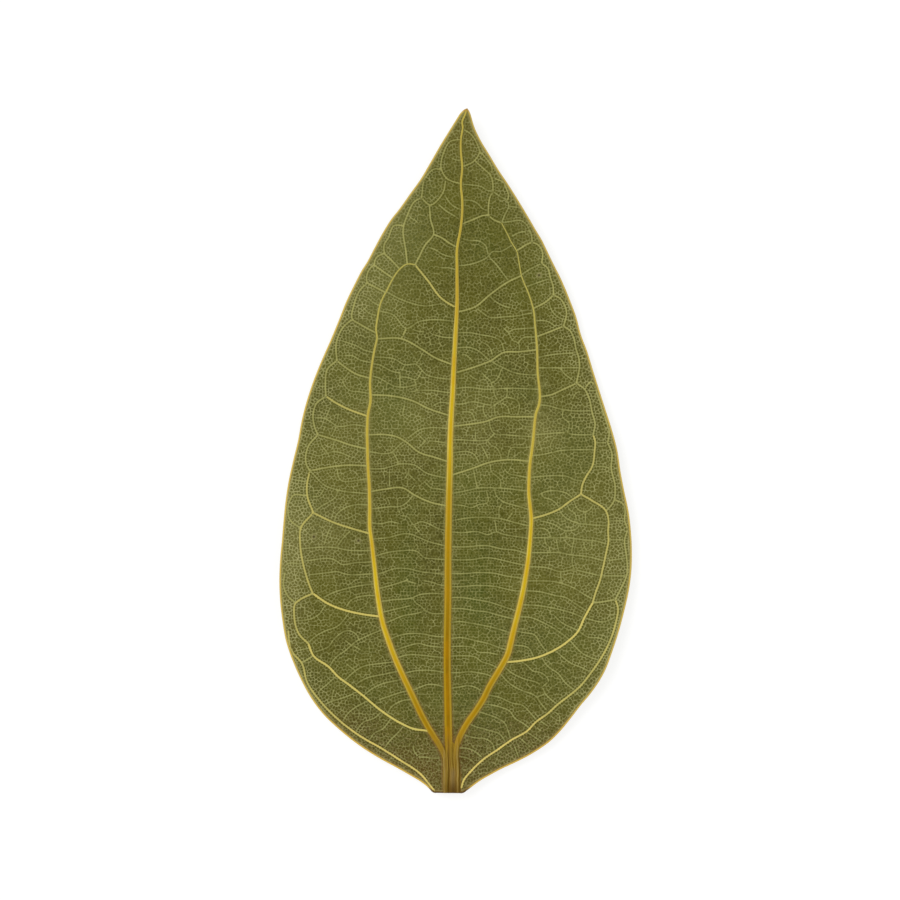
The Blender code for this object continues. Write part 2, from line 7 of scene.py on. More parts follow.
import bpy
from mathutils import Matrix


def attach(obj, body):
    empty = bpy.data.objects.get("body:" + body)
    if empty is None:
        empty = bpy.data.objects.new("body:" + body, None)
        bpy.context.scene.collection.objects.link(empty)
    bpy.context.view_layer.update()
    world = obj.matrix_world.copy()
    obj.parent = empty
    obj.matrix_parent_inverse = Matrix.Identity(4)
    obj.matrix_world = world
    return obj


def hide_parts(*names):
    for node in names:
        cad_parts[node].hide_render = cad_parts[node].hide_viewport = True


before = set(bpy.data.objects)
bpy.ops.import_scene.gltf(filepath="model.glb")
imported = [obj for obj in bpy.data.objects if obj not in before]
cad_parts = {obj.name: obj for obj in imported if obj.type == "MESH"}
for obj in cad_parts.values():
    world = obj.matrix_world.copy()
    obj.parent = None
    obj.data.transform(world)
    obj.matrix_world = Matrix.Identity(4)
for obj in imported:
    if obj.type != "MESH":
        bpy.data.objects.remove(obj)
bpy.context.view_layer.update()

# %% [markdown]
# Next come the sizes. The photograph was traced: each point of the margin and of the veins is
# a column and a row of the picture, 0.1756 mm apart on the leaf. One helper turns them into metres, so
# the script can keep the numbers that were read off the picture. Two more go back from a height on the
# leaf to a row of the picture, and from a row to a height.

# %% Sizes and the helpers that place a traced point
import math
import random

import bmesh
import bpy
import numpy as np
from mathutils import Matrix, Vector
from mathutils.geometry import delaunay_2d_cdt
from mathutils.kdtree import KDTree

MM = 0.001
LEAF_LENGTH = 120 * MM
TIP_ROW, CUT_ROW = 108.5, 792.0
MIDDLE_COLUMN, MIDDLE_ROW = 456.0, 450.25
PIXEL = LEAF_LENGTH / (CUT_ROW - TIP_ROW)


def place(points):
    """Columns and rows of the photograph as X and Y in metres on the leaf."""
    across, down = np.array(points, dtype=float).T
    return np.stack((across - MIDDLE_COLUMN, MIDDLE_ROW - down), axis=1) * PIXEL


def rows_of(points):
    """The row of the photograph that each point lies on."""
    return MIDDLE_ROW - points[:, 1] / PIXEL


def height_of_row(row):
    """The Y in metres of a row of the photograph."""
    return (MIDDLE_ROW - row) * PIXEL


print("one pixel is", round(PIXEL / MM, 4), "mm")

# %% [markdown]
# The margin and the three ribs, traced from the photograph. Each rib also has a table of widths,
# because it thins from the base to the tip: a row of the picture, and how many pixels wide the rib is.

# %% The traced margin and ribs
RIGHT_SIDE = [
    (466.6, 108.5), (468.2, 110.4), (469.6, 113), (471.2, 118.4), (473.7, 126.5), (480, 140), (488.7, 154.3),
    (497.8, 169.4), (507, 183), (516.5, 198), (529.4, 219.5), (535.5, 230), (541.5, 240), (546.2, 249.7),
    (553.2, 264), (560.3, 278), (565.6, 290), (570.4, 302), (575, 314), (581, 335.5), (586.5, 350),
    (592.5, 369.5), (598.8, 389.5), (605.2, 409.7), (611.1, 428.4), (616.7, 450), (619.8, 470.5),
    (623.4, 489.6), (627.8, 510.2), (630.2, 530), (631.2, 550), (630.6, 571), (628.2, 589), (623.4, 610.4),
    (617.8, 631), (611.3, 650.8), (604.4, 669), (598.8, 679.4), (590, 692.2), (579.8, 704.5),
    (570.2, 717.2), (559.1, 730.7), (549.6, 740.2), (538.7, 748.2), (530.5, 753.3), (517.3, 760.3),
    (500, 768.4), (489.5, 774), (480, 779.4), (469.9, 786.6), (462.8, 791.8)]
LEFT_SIDE = [
    (466.6, 108.5), (465, 109), (462.3, 110.9), (460, 113.2), (457, 117.8), (450, 129), (440.1, 145),
    (430.3, 162), (420.2, 179), (409.3, 194), (399.3, 208), (390.2, 219.5), (383.6, 230), (373.2, 249),
    (366.9, 261), (360.6, 271), (355.5, 281), (345.8, 301), (338.3, 320), (329.9, 340.3), (321.2, 360),
    (313.2, 380), (306.5, 400), (301.3, 420), (297.6, 440), (292.8, 460), (288.4, 480), (285.4, 500),
    (283.4, 520.5), (281.8, 540), (280, 560), (279.3, 580), (280, 599), (282.2, 619), (285.8, 639.7),
    (292.6, 660), (300.9, 678.6), (309.2, 694), (323.2, 713), (340, 729), (360.3, 745), (379.7, 757.3),
    (399.6, 768.2), (410.7, 774.6), (419.6, 779.9), (426.8, 785.3), (432.8, 791.4)]
MIDRIB_ROUTE = [
    (448.5, 752), (448, 730), (447.4, 700), (446.8, 660), (446.9, 640), (447.5, 600), (447.6, 565),
    (448, 530), (448.6, 500), (449.4, 465), (450, 435), (451, 412), (452.4, 390), (453.4, 366),
    (454.6, 343), (455.8, 322.7), (456.7, 299), (456.6, 270), (457, 245), (459.7, 231.4),
    (461.5, 216), (461.8, 200), (460.4, 184), (461.8, 167), (460.4, 152), (460.7, 137), (461.9, 131),
    (462.4, 127), (461.5, 122.8), (462.5, 119.4), (464, 116.6), (465, 113.8)]
LEFT_RIB_ROUTE = [
    (444.5, 757), (442.7, 751), (438.7, 743.8), (433.2, 735), (426.8, 724.8), (420.5, 713),
    (414, 699.4), (407.8, 686.5), (402.2, 674.6), (396.9, 663), (390.2, 646), (386.6, 635.8),
    (383, 625), (380, 612), (377.9, 599), (376, 585), (374.5, 570), (372.8, 555), (371.2, 541),
    (369.5, 529), (369.2, 505), (368.8, 486), (367.6, 467), (367, 448.6), (366.8, 425), (367.4, 414.5),
    (370.1, 400), (369.6, 383), (371.2, 366), (374.3, 348), (376.6, 337), (375.6, 328), (376.7, 320),
    (380.7, 301.2), (387.4, 287.8), (393.5, 276.2), (400, 267.7), (406.8, 263.2), (414.5, 264)]
RIGHT_RIB_ROUTE = [
    (455.4, 757), (455.6, 750), (457.4, 741), (461, 732.7), (467.3, 721.6), (475.2, 710.5),
    (483.2, 697.8), (489.5, 685), (496, 674), (502, 664), (507.6, 653), (510.2, 643), (512.6, 632.6),
    (516, 619), (519, 607), (521.6, 596), (524, 584), (526, 572), (527.8, 560), (529.2, 546),
    (530.4, 531), (531, 518), (530, 507), (528.6, 494), (528.7, 479), (529.8, 462), (531.5, 450),
    (533, 438), (534.6, 420), (535.6, 413), (538.7, 404), (539.6, 396), (539, 387), (537.4, 372),
    (537, 356), (536.4, 343), (534.9, 326), (532.8, 307.6), (528.2, 293), (521, 275), (518.6, 262),
    (516, 250), (511, 242), (507, 233.8), (501, 222.5)]
# In the stem stub the ribs go on as strands down to the cut. The line that splits the blade follows
# the midrib and runs a little past both of its ends.
MIDRIB_ROUTE = [(450.4, 791.2), (450, 772)] + MIDRIB_ROUTE + [(465.8, 110.8)]
LEFT_RIB_ROUTE = [(445.4, 791.2), (445, 773)] + LEFT_RIB_ROUTE
RIGHT_RIB_ROUTE = [(456.9, 791.2), (456.6, 773)] + RIGHT_RIB_ROUTE
STUB_ROUTE = [(451.4, 791.4), (451.2, 776), (450.4, 760), (449.6, 750), (449.2, 741)]
SPLIT_ROUTE = [(450.4, 806)] + MIDRIB_ROUTE + [(467.5, 100)]

MIDRIB_WIDTHS = [
    (110, 2.0), (165, 2.4), (245, 3.0), (300, 4.0), (330, 4.8), (410, 5.7), (490, 6.7), (585, 7.3),
    (680, 7.5), (740, 7.9)]
LEFT_RIB_WIDTHS = [
    (264, 1.8), (330, 2.4), (410, 3.1), (500, 3.8), (575, 5.0), (640, 6.0), (700, 6.4), (791, 5.6)]
RIGHT_RIB_WIDTHS = [
    (222, 1.3), (270, 1.6), (340, 2.6), (425, 3.2), (490, 3.9), (570, 5.3), (640, 6.4), (700, 6.4),
    (791, 5.8)]
STUB_WIDTHS = [(741, 8.0), (750, 14.0), (758, 18.0), (768, 18.2), (792, 18.4)]
print("traced:", len(RIGHT_SIDE) + len(LEFT_SIDE), "margin points and 3 ribs")

# %% [markdown]
# The second veins. They leave the ribs and join in loops beside the margin. Below them in the order of
# growth come the third veins, which cross from rib to rib like the rungs of a ladder and split the
# outer blade into small fields.

# %% The traced second veins
LOOP_ROUTES = [
    [(462.5, 129.5), (469.5, 133.5), (477, 145), (479, 151), (474, 160.5), (463, 166.5)],
    [(474, 160.5), (483, 168.5), (490, 175.5), (492, 181.5), (492.5, 191)],
    [(479, 151), (484, 156.5), (491.5, 169.5), (490, 175.5)],
    [(491.5, 177.5), (502, 182), (506, 189), (508, 195), (507, 200)],
    [(462, 184), (473, 185), (481, 186.5), (486.5, 190), (492.5, 191)],
    [(492.5, 191), (489.5, 197), (488, 205), (488, 215.5)],
    [(492.5, 191), (500, 196.5), (506.5, 200), (508, 206), (504.5, 214), (501, 222.5)],
    [(461.5, 223.5), (470.5, 220), (488, 215.5), (492.5, 219), (501, 222.5)],
    [(501, 222.5), (510, 221), (521, 220.5), (526, 224.5), (529, 230), (531, 235.5), (531.5, 242)],
    [(516, 250), (520.5, 247.5), (526, 244), (531.5, 242)],
    [(531.5, 242), (536, 243.5), (540, 247.5), (542, 253), (541, 263)],
    [(521, 274), (530.5, 268), (541, 263)],
    [(541, 263), (546.5, 267), (550, 278), (552.5, 286), (553, 294.5)],
    [(532.5, 308), (545.5, 301), (553, 294.5)],
    [(553, 294.5), (559, 297.5), (564, 304.5), (566, 313), (564.5, 320.5), (563, 325.5)],
    [(536, 336), (550.5, 330.5), (563, 325.5)],
    [(563, 325.5), (569.5, 330), (573, 336.5), (575.5, 348), (578.5, 358.5), (579, 363.5), (576, 382.5)],
    [(576, 382.5), (563, 388.5), (550.5, 394), (539.6, 396)],
    [(576, 382.5), (584, 388.5), (589, 399), (591.5, 411.5), (594.5, 423.5), (592.5, 434)],
    [(592.5, 434), (594.5, 440.5), (594, 450), (591.5, 466), (585.5, 476), (581.5, 485.5), (580.5, 493.5)],
    [(580.5, 493.5), (569.5, 500.5), (558.5, 508.5), (545.5, 514), (531, 518)],
    [(580.5, 493.5), (591, 499.5), (605.5, 510.5), (608, 520), (607.5, 530), (608, 539), (605.5, 552.5),
     (602.5, 566.5), (599, 581), (595.5, 590.5), (592, 602)],
    [(592, 602), (583.5, 617.5), (577, 631), (566.5, 641), (553.5, 649.5), (538.5, 656), (520, 660),
     (503.5, 661.5)],
    [(605.5, 510.5), (613, 500.5), (614.5, 487), (610.5, 467), (611, 452), (607, 442)],
    [(607, 442), (608.5, 433), (603, 413.5), (597, 395), (590, 381), (584, 388.5)],
    [(614, 499), (621.5, 502.5), (624, 507), (624, 520), (626.5, 528), (624, 539), (626, 557),
     (626.5, 572), (620, 588), (614.5, 598.5)],
    [(614.5, 598.5), (617, 605.5), (615, 621.5), (610, 637.5), (600.5, 656.5), (589.5, 672.5),
     (580, 684.5), (568.5, 694.5), (557.5, 703), (546.5, 713), (536, 720.5), (526, 730.5), (511, 739),
     (497.5, 748.5), (481.5, 759.5), (471.5, 769), (462.5, 780.5), (460.8, 787)],
    [(592, 602), (601, 601), (614.5, 598.5)],
    [(457, 265), (470, 263.5), (488.5, 255), (492, 251), (499, 251), (512, 244.5)],
    [(456.6, 311.5), (474.5, 306), (490, 293.5), (508, 281), (521, 275)],
    [(453.4, 372.5), (473, 366.5), (490, 360), (504, 351.5), (517.5, 351), (536.5, 349)],
    [(450.6, 425.5), (469, 423.5), (489, 419.5), (495, 417), (517.5, 416), (535, 416)],
    [(452.4, 388), (468, 386.5), (485, 388.5), (506, 387.5), (539, 388.5)],
    [(449.3, 475), (472.5, 467.5), (489.5, 461.5), (507, 459), (530, 460.5)],
    [(448.8, 493), (463.5, 490.5), (477, 487.5), (501, 487.5), (528.6, 490.5)],
    [(448.2, 520.5), (470, 517), (500, 518), (517, 522.5), (530.5, 525.5)],
    [(460.5, 139.5), (450, 141.5), (443, 153.5), (441, 169.5), (445.5, 177.5), (460.4, 184)],
    [(441, 169.5), (434.5, 169), (425, 178), (421, 197.5)],
    [(445.5, 177.5), (442.5, 192.5), (429, 204.5), (421, 197.5)],
    [(442.5, 192.5), (452, 205), (461.4, 210)],
    [(421, 197.5), (415, 200.5), (407.5, 213.5), (403, 227), (405.5, 251), (406.8, 263.2)],
    [(429, 204.5), (430, 218), (433, 234), (425, 244), (418, 257.5), (414.5, 264)],
    [(433, 234), (440, 236.5), (449, 242.5), (456.8, 247)],
    [(403, 225), (394, 225), (387.5, 238), (384, 243.5), (384.5, 253), (390, 258.5), (399, 268)],
    [(384.5, 253), (377, 256), (374, 263.5), (381, 269.5), (392.5, 277.5)],
    [(374, 263.5), (368.5, 269.5), (367, 282), (374, 286), (385.5, 292)],
    [(367, 282), (360.5, 288.5), (353.5, 305), (352, 318.5), (359.5, 323.5), (376, 332.5)],
    [(352, 318.5), (343, 326.5), (336, 342.5), (336.5, 360)],
    [(336.5, 360), (345.5, 367), (355, 373), (370, 377.5)],
    [(336.5, 360), (327.5, 368), (325, 384.5), (325.5, 395.5)],
    [(325.5, 395.5), (336, 402.5), (350.5, 409.5), (367.4, 415.5)],
    [(325.5, 395.5), (316, 403), (313, 411.5), (314.5, 427), (317.5, 434)],
    [(317.5, 434), (334.5, 439), (351, 444.5), (367, 448.3)],
    [(317.5, 434), (308, 445.5), (306.5, 465), (309.5, 470)],
    [(309.5, 470), (331, 466), (345, 464.5), (367.6, 465)],
    [(309.5, 470), (326, 485.5), (338.5, 489.5), (368.9, 493)],
    [(309.5, 470), (306.5, 485.5), (307, 495), (313, 512)],
    [(313, 512), (334, 522), (349, 527), (369.6, 533)],
    [(313, 512), (300.5, 527.5), (300, 543), (304, 567.5), (308.5, 582.5), (312.5, 592.5)],
    [(312.5, 592.5), (328, 603), (343, 609), (359.5, 613), (380.5, 616)],
    [(312.5, 592.5), (300, 598.5), (295.5, 602), (294, 614.5), (299.5, 634), (308, 642.5)],
    [(308, 642.5), (313, 654.5), (328.5, 666), (337.5, 675.5), (349.5, 684.5), (363, 695),
     (380.5, 709.5), (400, 722), (412, 727.5), (428, 730)],
    [(295.5, 602), (287.5, 594.5), (283.5, 584), (285, 571.5)],
    [(288, 629.5), (291.5, 650), (301.5, 662), (307, 681), (321.5, 701.5), (342, 721.5), (359.5, 734.5),
     (382, 747.5), (400, 759), (420, 772.5), (431, 785.5), (434, 789.5)],
    [(301.5, 662), (312.5, 655)],
    [(300.5, 527.5), (290, 519), (290, 499), (292.5, 495), (307, 495)],
    [(414.5, 264), (427.5, 280), (441, 297.5), (456.6, 307.5)],
    [(385, 290.5), (401.5, 299), (424, 305), (444.5, 302)],
    [(378.5, 310), (392.5, 314), (406, 327.5), (419.5, 320.5), (429.5, 319), (455.9, 320.5)],
    [(376.5, 338), (401, 338), (420.5, 348), (433, 356), (453.6, 364.5)],
    [(406, 327.5), (401, 338)],
    [(370, 394), (390, 395), (412, 400), (427.5, 407.5), (451, 415.5)],
    [(367, 434), (386.5, 434), (397.5, 436.5), (404.5, 440.5), (419.5, 452), (434, 456.5), (449.6, 461.5)],
    [(369, 491), (384, 488.5), (403, 487.5), (413.5, 494), (430, 501.5), (448.5, 505.5)],
    [(371, 538.5), (386.5, 537), (407, 533), (428.5, 541), (447.9, 546)],
    [(373, 356), (394.5, 358.5), (404.5, 364), (415, 363.5), (425, 373), (453, 379)],
    [(367.8, 468), (380.5, 468), (404, 463), (413, 464), (425.5, 472), (449.2, 478)]]

# Places in that list: veins so thin that they look like third ones, yellow ones, and the three great
# loops of the lower flanks.
FAINT_LOOPS = (4, 6, 8, 11, 28, 32, 34, 35, 39, 55, 67, 68, 74, 75, 76)
YELLOW_LOOPS = (19, 20, 21, 26, 50, 56, 57, 58, 60, 63, 66)
GREAT_LOOPS = (22, 59, 61)
print(len(LOOP_ROUTES), "second veins,", len(FAINT_LOOPS), "of them faint")

# %% The traced third veins: near the tip, and between the ribs
CROSS_ROUTES = [
    [(529, 552), (545, 552), (559, 552), (570, 554), (588, 556), (603, 560)],
    [(463, 200), (470, 200), (477, 203), (483, 209), (487, 210)], [(508, 206), (517, 207)],
    [(436, 156), (440, 158)], [(451, 158), (456, 160), (460, 160)], [(438, 204), (445, 210), (455, 216)],
    [(429, 247), (435, 249), (441, 253), (450, 256), (457, 257)], [(440, 267), (448, 267), (456, 269)],
    [(410, 327), (416, 330), (424, 331)], [(434, 334), (441, 336), (454, 337)],
    [(408, 214), (410, 217), (415, 220), (417, 222)], [(347, 320), (344, 314)],
    [(462, 238), (470, 240), (477, 240), (485, 245), (488, 255), (496, 264), (502, 272), (508, 280)],
    [(474, 306), (481, 311), (488, 316), (504, 316), (517, 315), (527, 313), (533, 312)],
    [(489, 295), (493, 299), (503, 305), (510, 307)],
    [(455, 332), (471, 332), (481, 334), (492, 336), (500, 340), (504, 351)],
    [(503, 327), (508, 332), (513, 340), (518, 342), (519, 350)],
    [(508, 332), (512, 329), (520, 328), (535, 327)], [(518, 342), (521, 338), (536, 336)],
    [(455, 347), (471, 347), (478, 350), (483, 354), (489, 360)],
    [(461, 354), (465, 354), (469, 357), (473, 361)], [(483, 342), (488, 345), (490, 348), (492, 354)],
    [(490, 360), (495, 363), (503, 367), (509, 370), (519, 373), (530, 374), (537, 374)],
    [(481, 371), (485, 376), (490, 380), (492, 387)], [(469, 374), (473, 377), (477, 379)],
    [(492, 382), (496, 379), (499, 374), (501, 368)], [(494, 387), (494, 394), (497, 399)],
    [(506, 387), (506, 396), (502, 399), (493, 405)],
    [(506, 396), (517, 400), (519, 404), (518, 411), (517, 415)],
    [(451, 403), (463, 403), (471, 401), (479, 402), (487, 404), (493, 405), (494, 409), (495, 416)],
    [(461, 411), (471, 412), (475, 420)], [(483, 404), (483, 411), (488, 419)],
    [(501, 402), (507, 406), (509, 413)],
    [(489, 420), (490, 427), (494, 433), (504, 434), (517, 435), (533, 436)],
    [(494, 433), (487, 439), (477, 440), (461, 439), (450, 439)], [(475, 431), (475, 439)],
    [(487, 439), (490, 444), (496, 447), (500, 454), (501, 459)], [(481, 445), (485, 452), (488, 459)],
    [(451, 452), (471, 452), (474, 454), (478, 461)], [(507, 458), (511, 447), (521, 447), (531, 446)],
    [(518, 419), (520, 423), (523, 425), (533, 426)], [(528, 350), (528, 344), (532, 342), (536, 342)],
    [(517, 398), (519, 392), (523, 395), (526, 398)], [(473, 468), (475, 479), (477, 487)],
    [(490, 463), (491, 471), (497, 476), (500, 479), (500, 487)],
    [(504, 468), (507, 472), (518, 475), (528, 477)],
    [(494, 488), (496, 495), (503, 501), (516, 505), (529, 509)],
    [(486, 489), (487, 502), (478, 504), (471, 507), (463, 505), (450, 504)],
    [(499, 518), (499, 507), (502, 502)], [(507, 519), (512, 512)], [(494, 519), (495, 523), (496, 530)],
    [(449, 531), (461, 532), (477, 531), (488, 534), (496, 531), (501, 533), (517, 536), (530, 538)],
    [(449, 546), (469, 546), (478, 545), (487, 545), (500, 548), (517, 550), (528, 554)],
    [(449, 559), (471, 559), (487, 557), (504, 560), (512, 562), (527, 565)],
    [(449, 573), (461, 573), (479, 572), (496, 573), (504, 575), (517, 577), (525, 579)],
    [(449, 586), (461, 586), (473, 585), (486, 585), (496, 586), (508, 589), (523, 591)],
    [(449, 597), (462, 597), (475, 599), (491, 602), (500, 605), (518, 611)],
    [(449, 608), (462, 608), (474, 610), (485, 611), (496, 614), (516, 619)],
    [(448, 622), (460, 621), (473, 623), (489, 626), (500, 629), (513, 633)],
    [(448, 638), (461, 637), (475, 640), (488, 643), (499, 647), (509, 650)],
    [(448, 646), (468, 646), (473, 647), (477, 651), (488, 652), (498, 654)], [(475, 640), (473, 647)],
    [(448, 656), (462, 655), (476, 657), (481, 661), (488, 663), (499, 668)],
    [(448, 672), (460, 672), (469, 671), (477, 672), (487, 674), (494, 677)],
    [(448, 688), (461, 686), (467, 685), (473, 686), (481, 690)],
    [(372, 363), (379, 364), (383, 366), (393, 371), (400, 372)],
    [(371, 375), (378, 377), (387, 382), (393, 385), (407, 386), (417, 383)],
    [(404, 364), (402, 369), (400, 372), (400, 386)], [(400, 376), (409, 377), (415, 379), (421, 371)],
    [(415, 379), (415, 386), (417, 390)], [(410, 391), (416, 390), (436, 390), (442, 391), (452, 392)],
    [(415, 363), (419, 359), (422, 352)], [(386, 383), (386, 390)], [(433, 405), (438, 402), (451, 403)],
    [(404, 404), (403, 415), (408, 419)], [(404, 440), (413, 433), (419, 429), (429, 427), (450, 428)],
    [(419, 435), (425, 441)], [(417, 448), (421, 444), (425, 441), (438, 441), (449, 443)],
    [(367, 451), (392, 451), (397, 446), (404, 440)], [(392, 451), (394, 454), (397, 460), (398, 463)],
    [(409, 466), (408, 472), (415, 480)], [(408, 472), (404, 478)],
    [(423, 480), (427, 484), (430, 487), (437, 488), (447, 490)], [(418, 481), (414, 485), (411, 489)],
    [(413, 494), (409, 499), (405, 503), (398, 506), (390, 506), (381, 507), (370, 508)],
    [(397, 506), (399, 512)], [(389, 470), (389, 486)], [(386, 496), (388, 500), (390, 505)],
    [(401, 515), (407, 516), (413, 524), (420, 521), (428, 523), (438, 528), (446, 530)],
    [(413, 524), (419, 532)], [(370, 522), (381, 523), (390, 521), (399, 523)],
    [(373, 556), (386, 552), (401, 550), (417, 551), (424, 557), (432, 558), (446, 559)],
    [(375, 574), (385, 571), (394, 568), (407, 568), (420, 571), (438, 573), (446, 574)],
    [(377, 588), (393, 584), (399, 582), (405, 580), (408, 578)], [(405, 580), (416, 583)],
    [(423, 580), (433, 582), (438, 584), (446, 585)],
    [(378, 601), (393, 599), (412, 597), (419, 594), (427, 593), (446, 593)],
    [(412, 597), (415, 602), (421, 606), (425, 610), (429, 612), (446, 613)],
    [(380, 612), (393, 609), (410, 605)], [(383, 623), (393, 619), (400, 616), (419, 612), (425, 610)],
    [(387, 640), (393, 637), (408, 633), (419, 633), (438, 636), (446, 636)],
    [(391, 651), (405, 646), (419, 643), (427, 645), (445, 647)],
    [(395, 658), (403, 655), (425, 655), (433, 656), (445, 657)],
    [(402, 673), (416, 670), (433, 670), (445, 672)],
    [(409, 691), (421, 686), (426, 684), (435, 684), (445, 687)],
    [(418, 756), (425, 756), (431, 757), (440, 757)], [(418, 756), (413, 748), (413, 744)]]

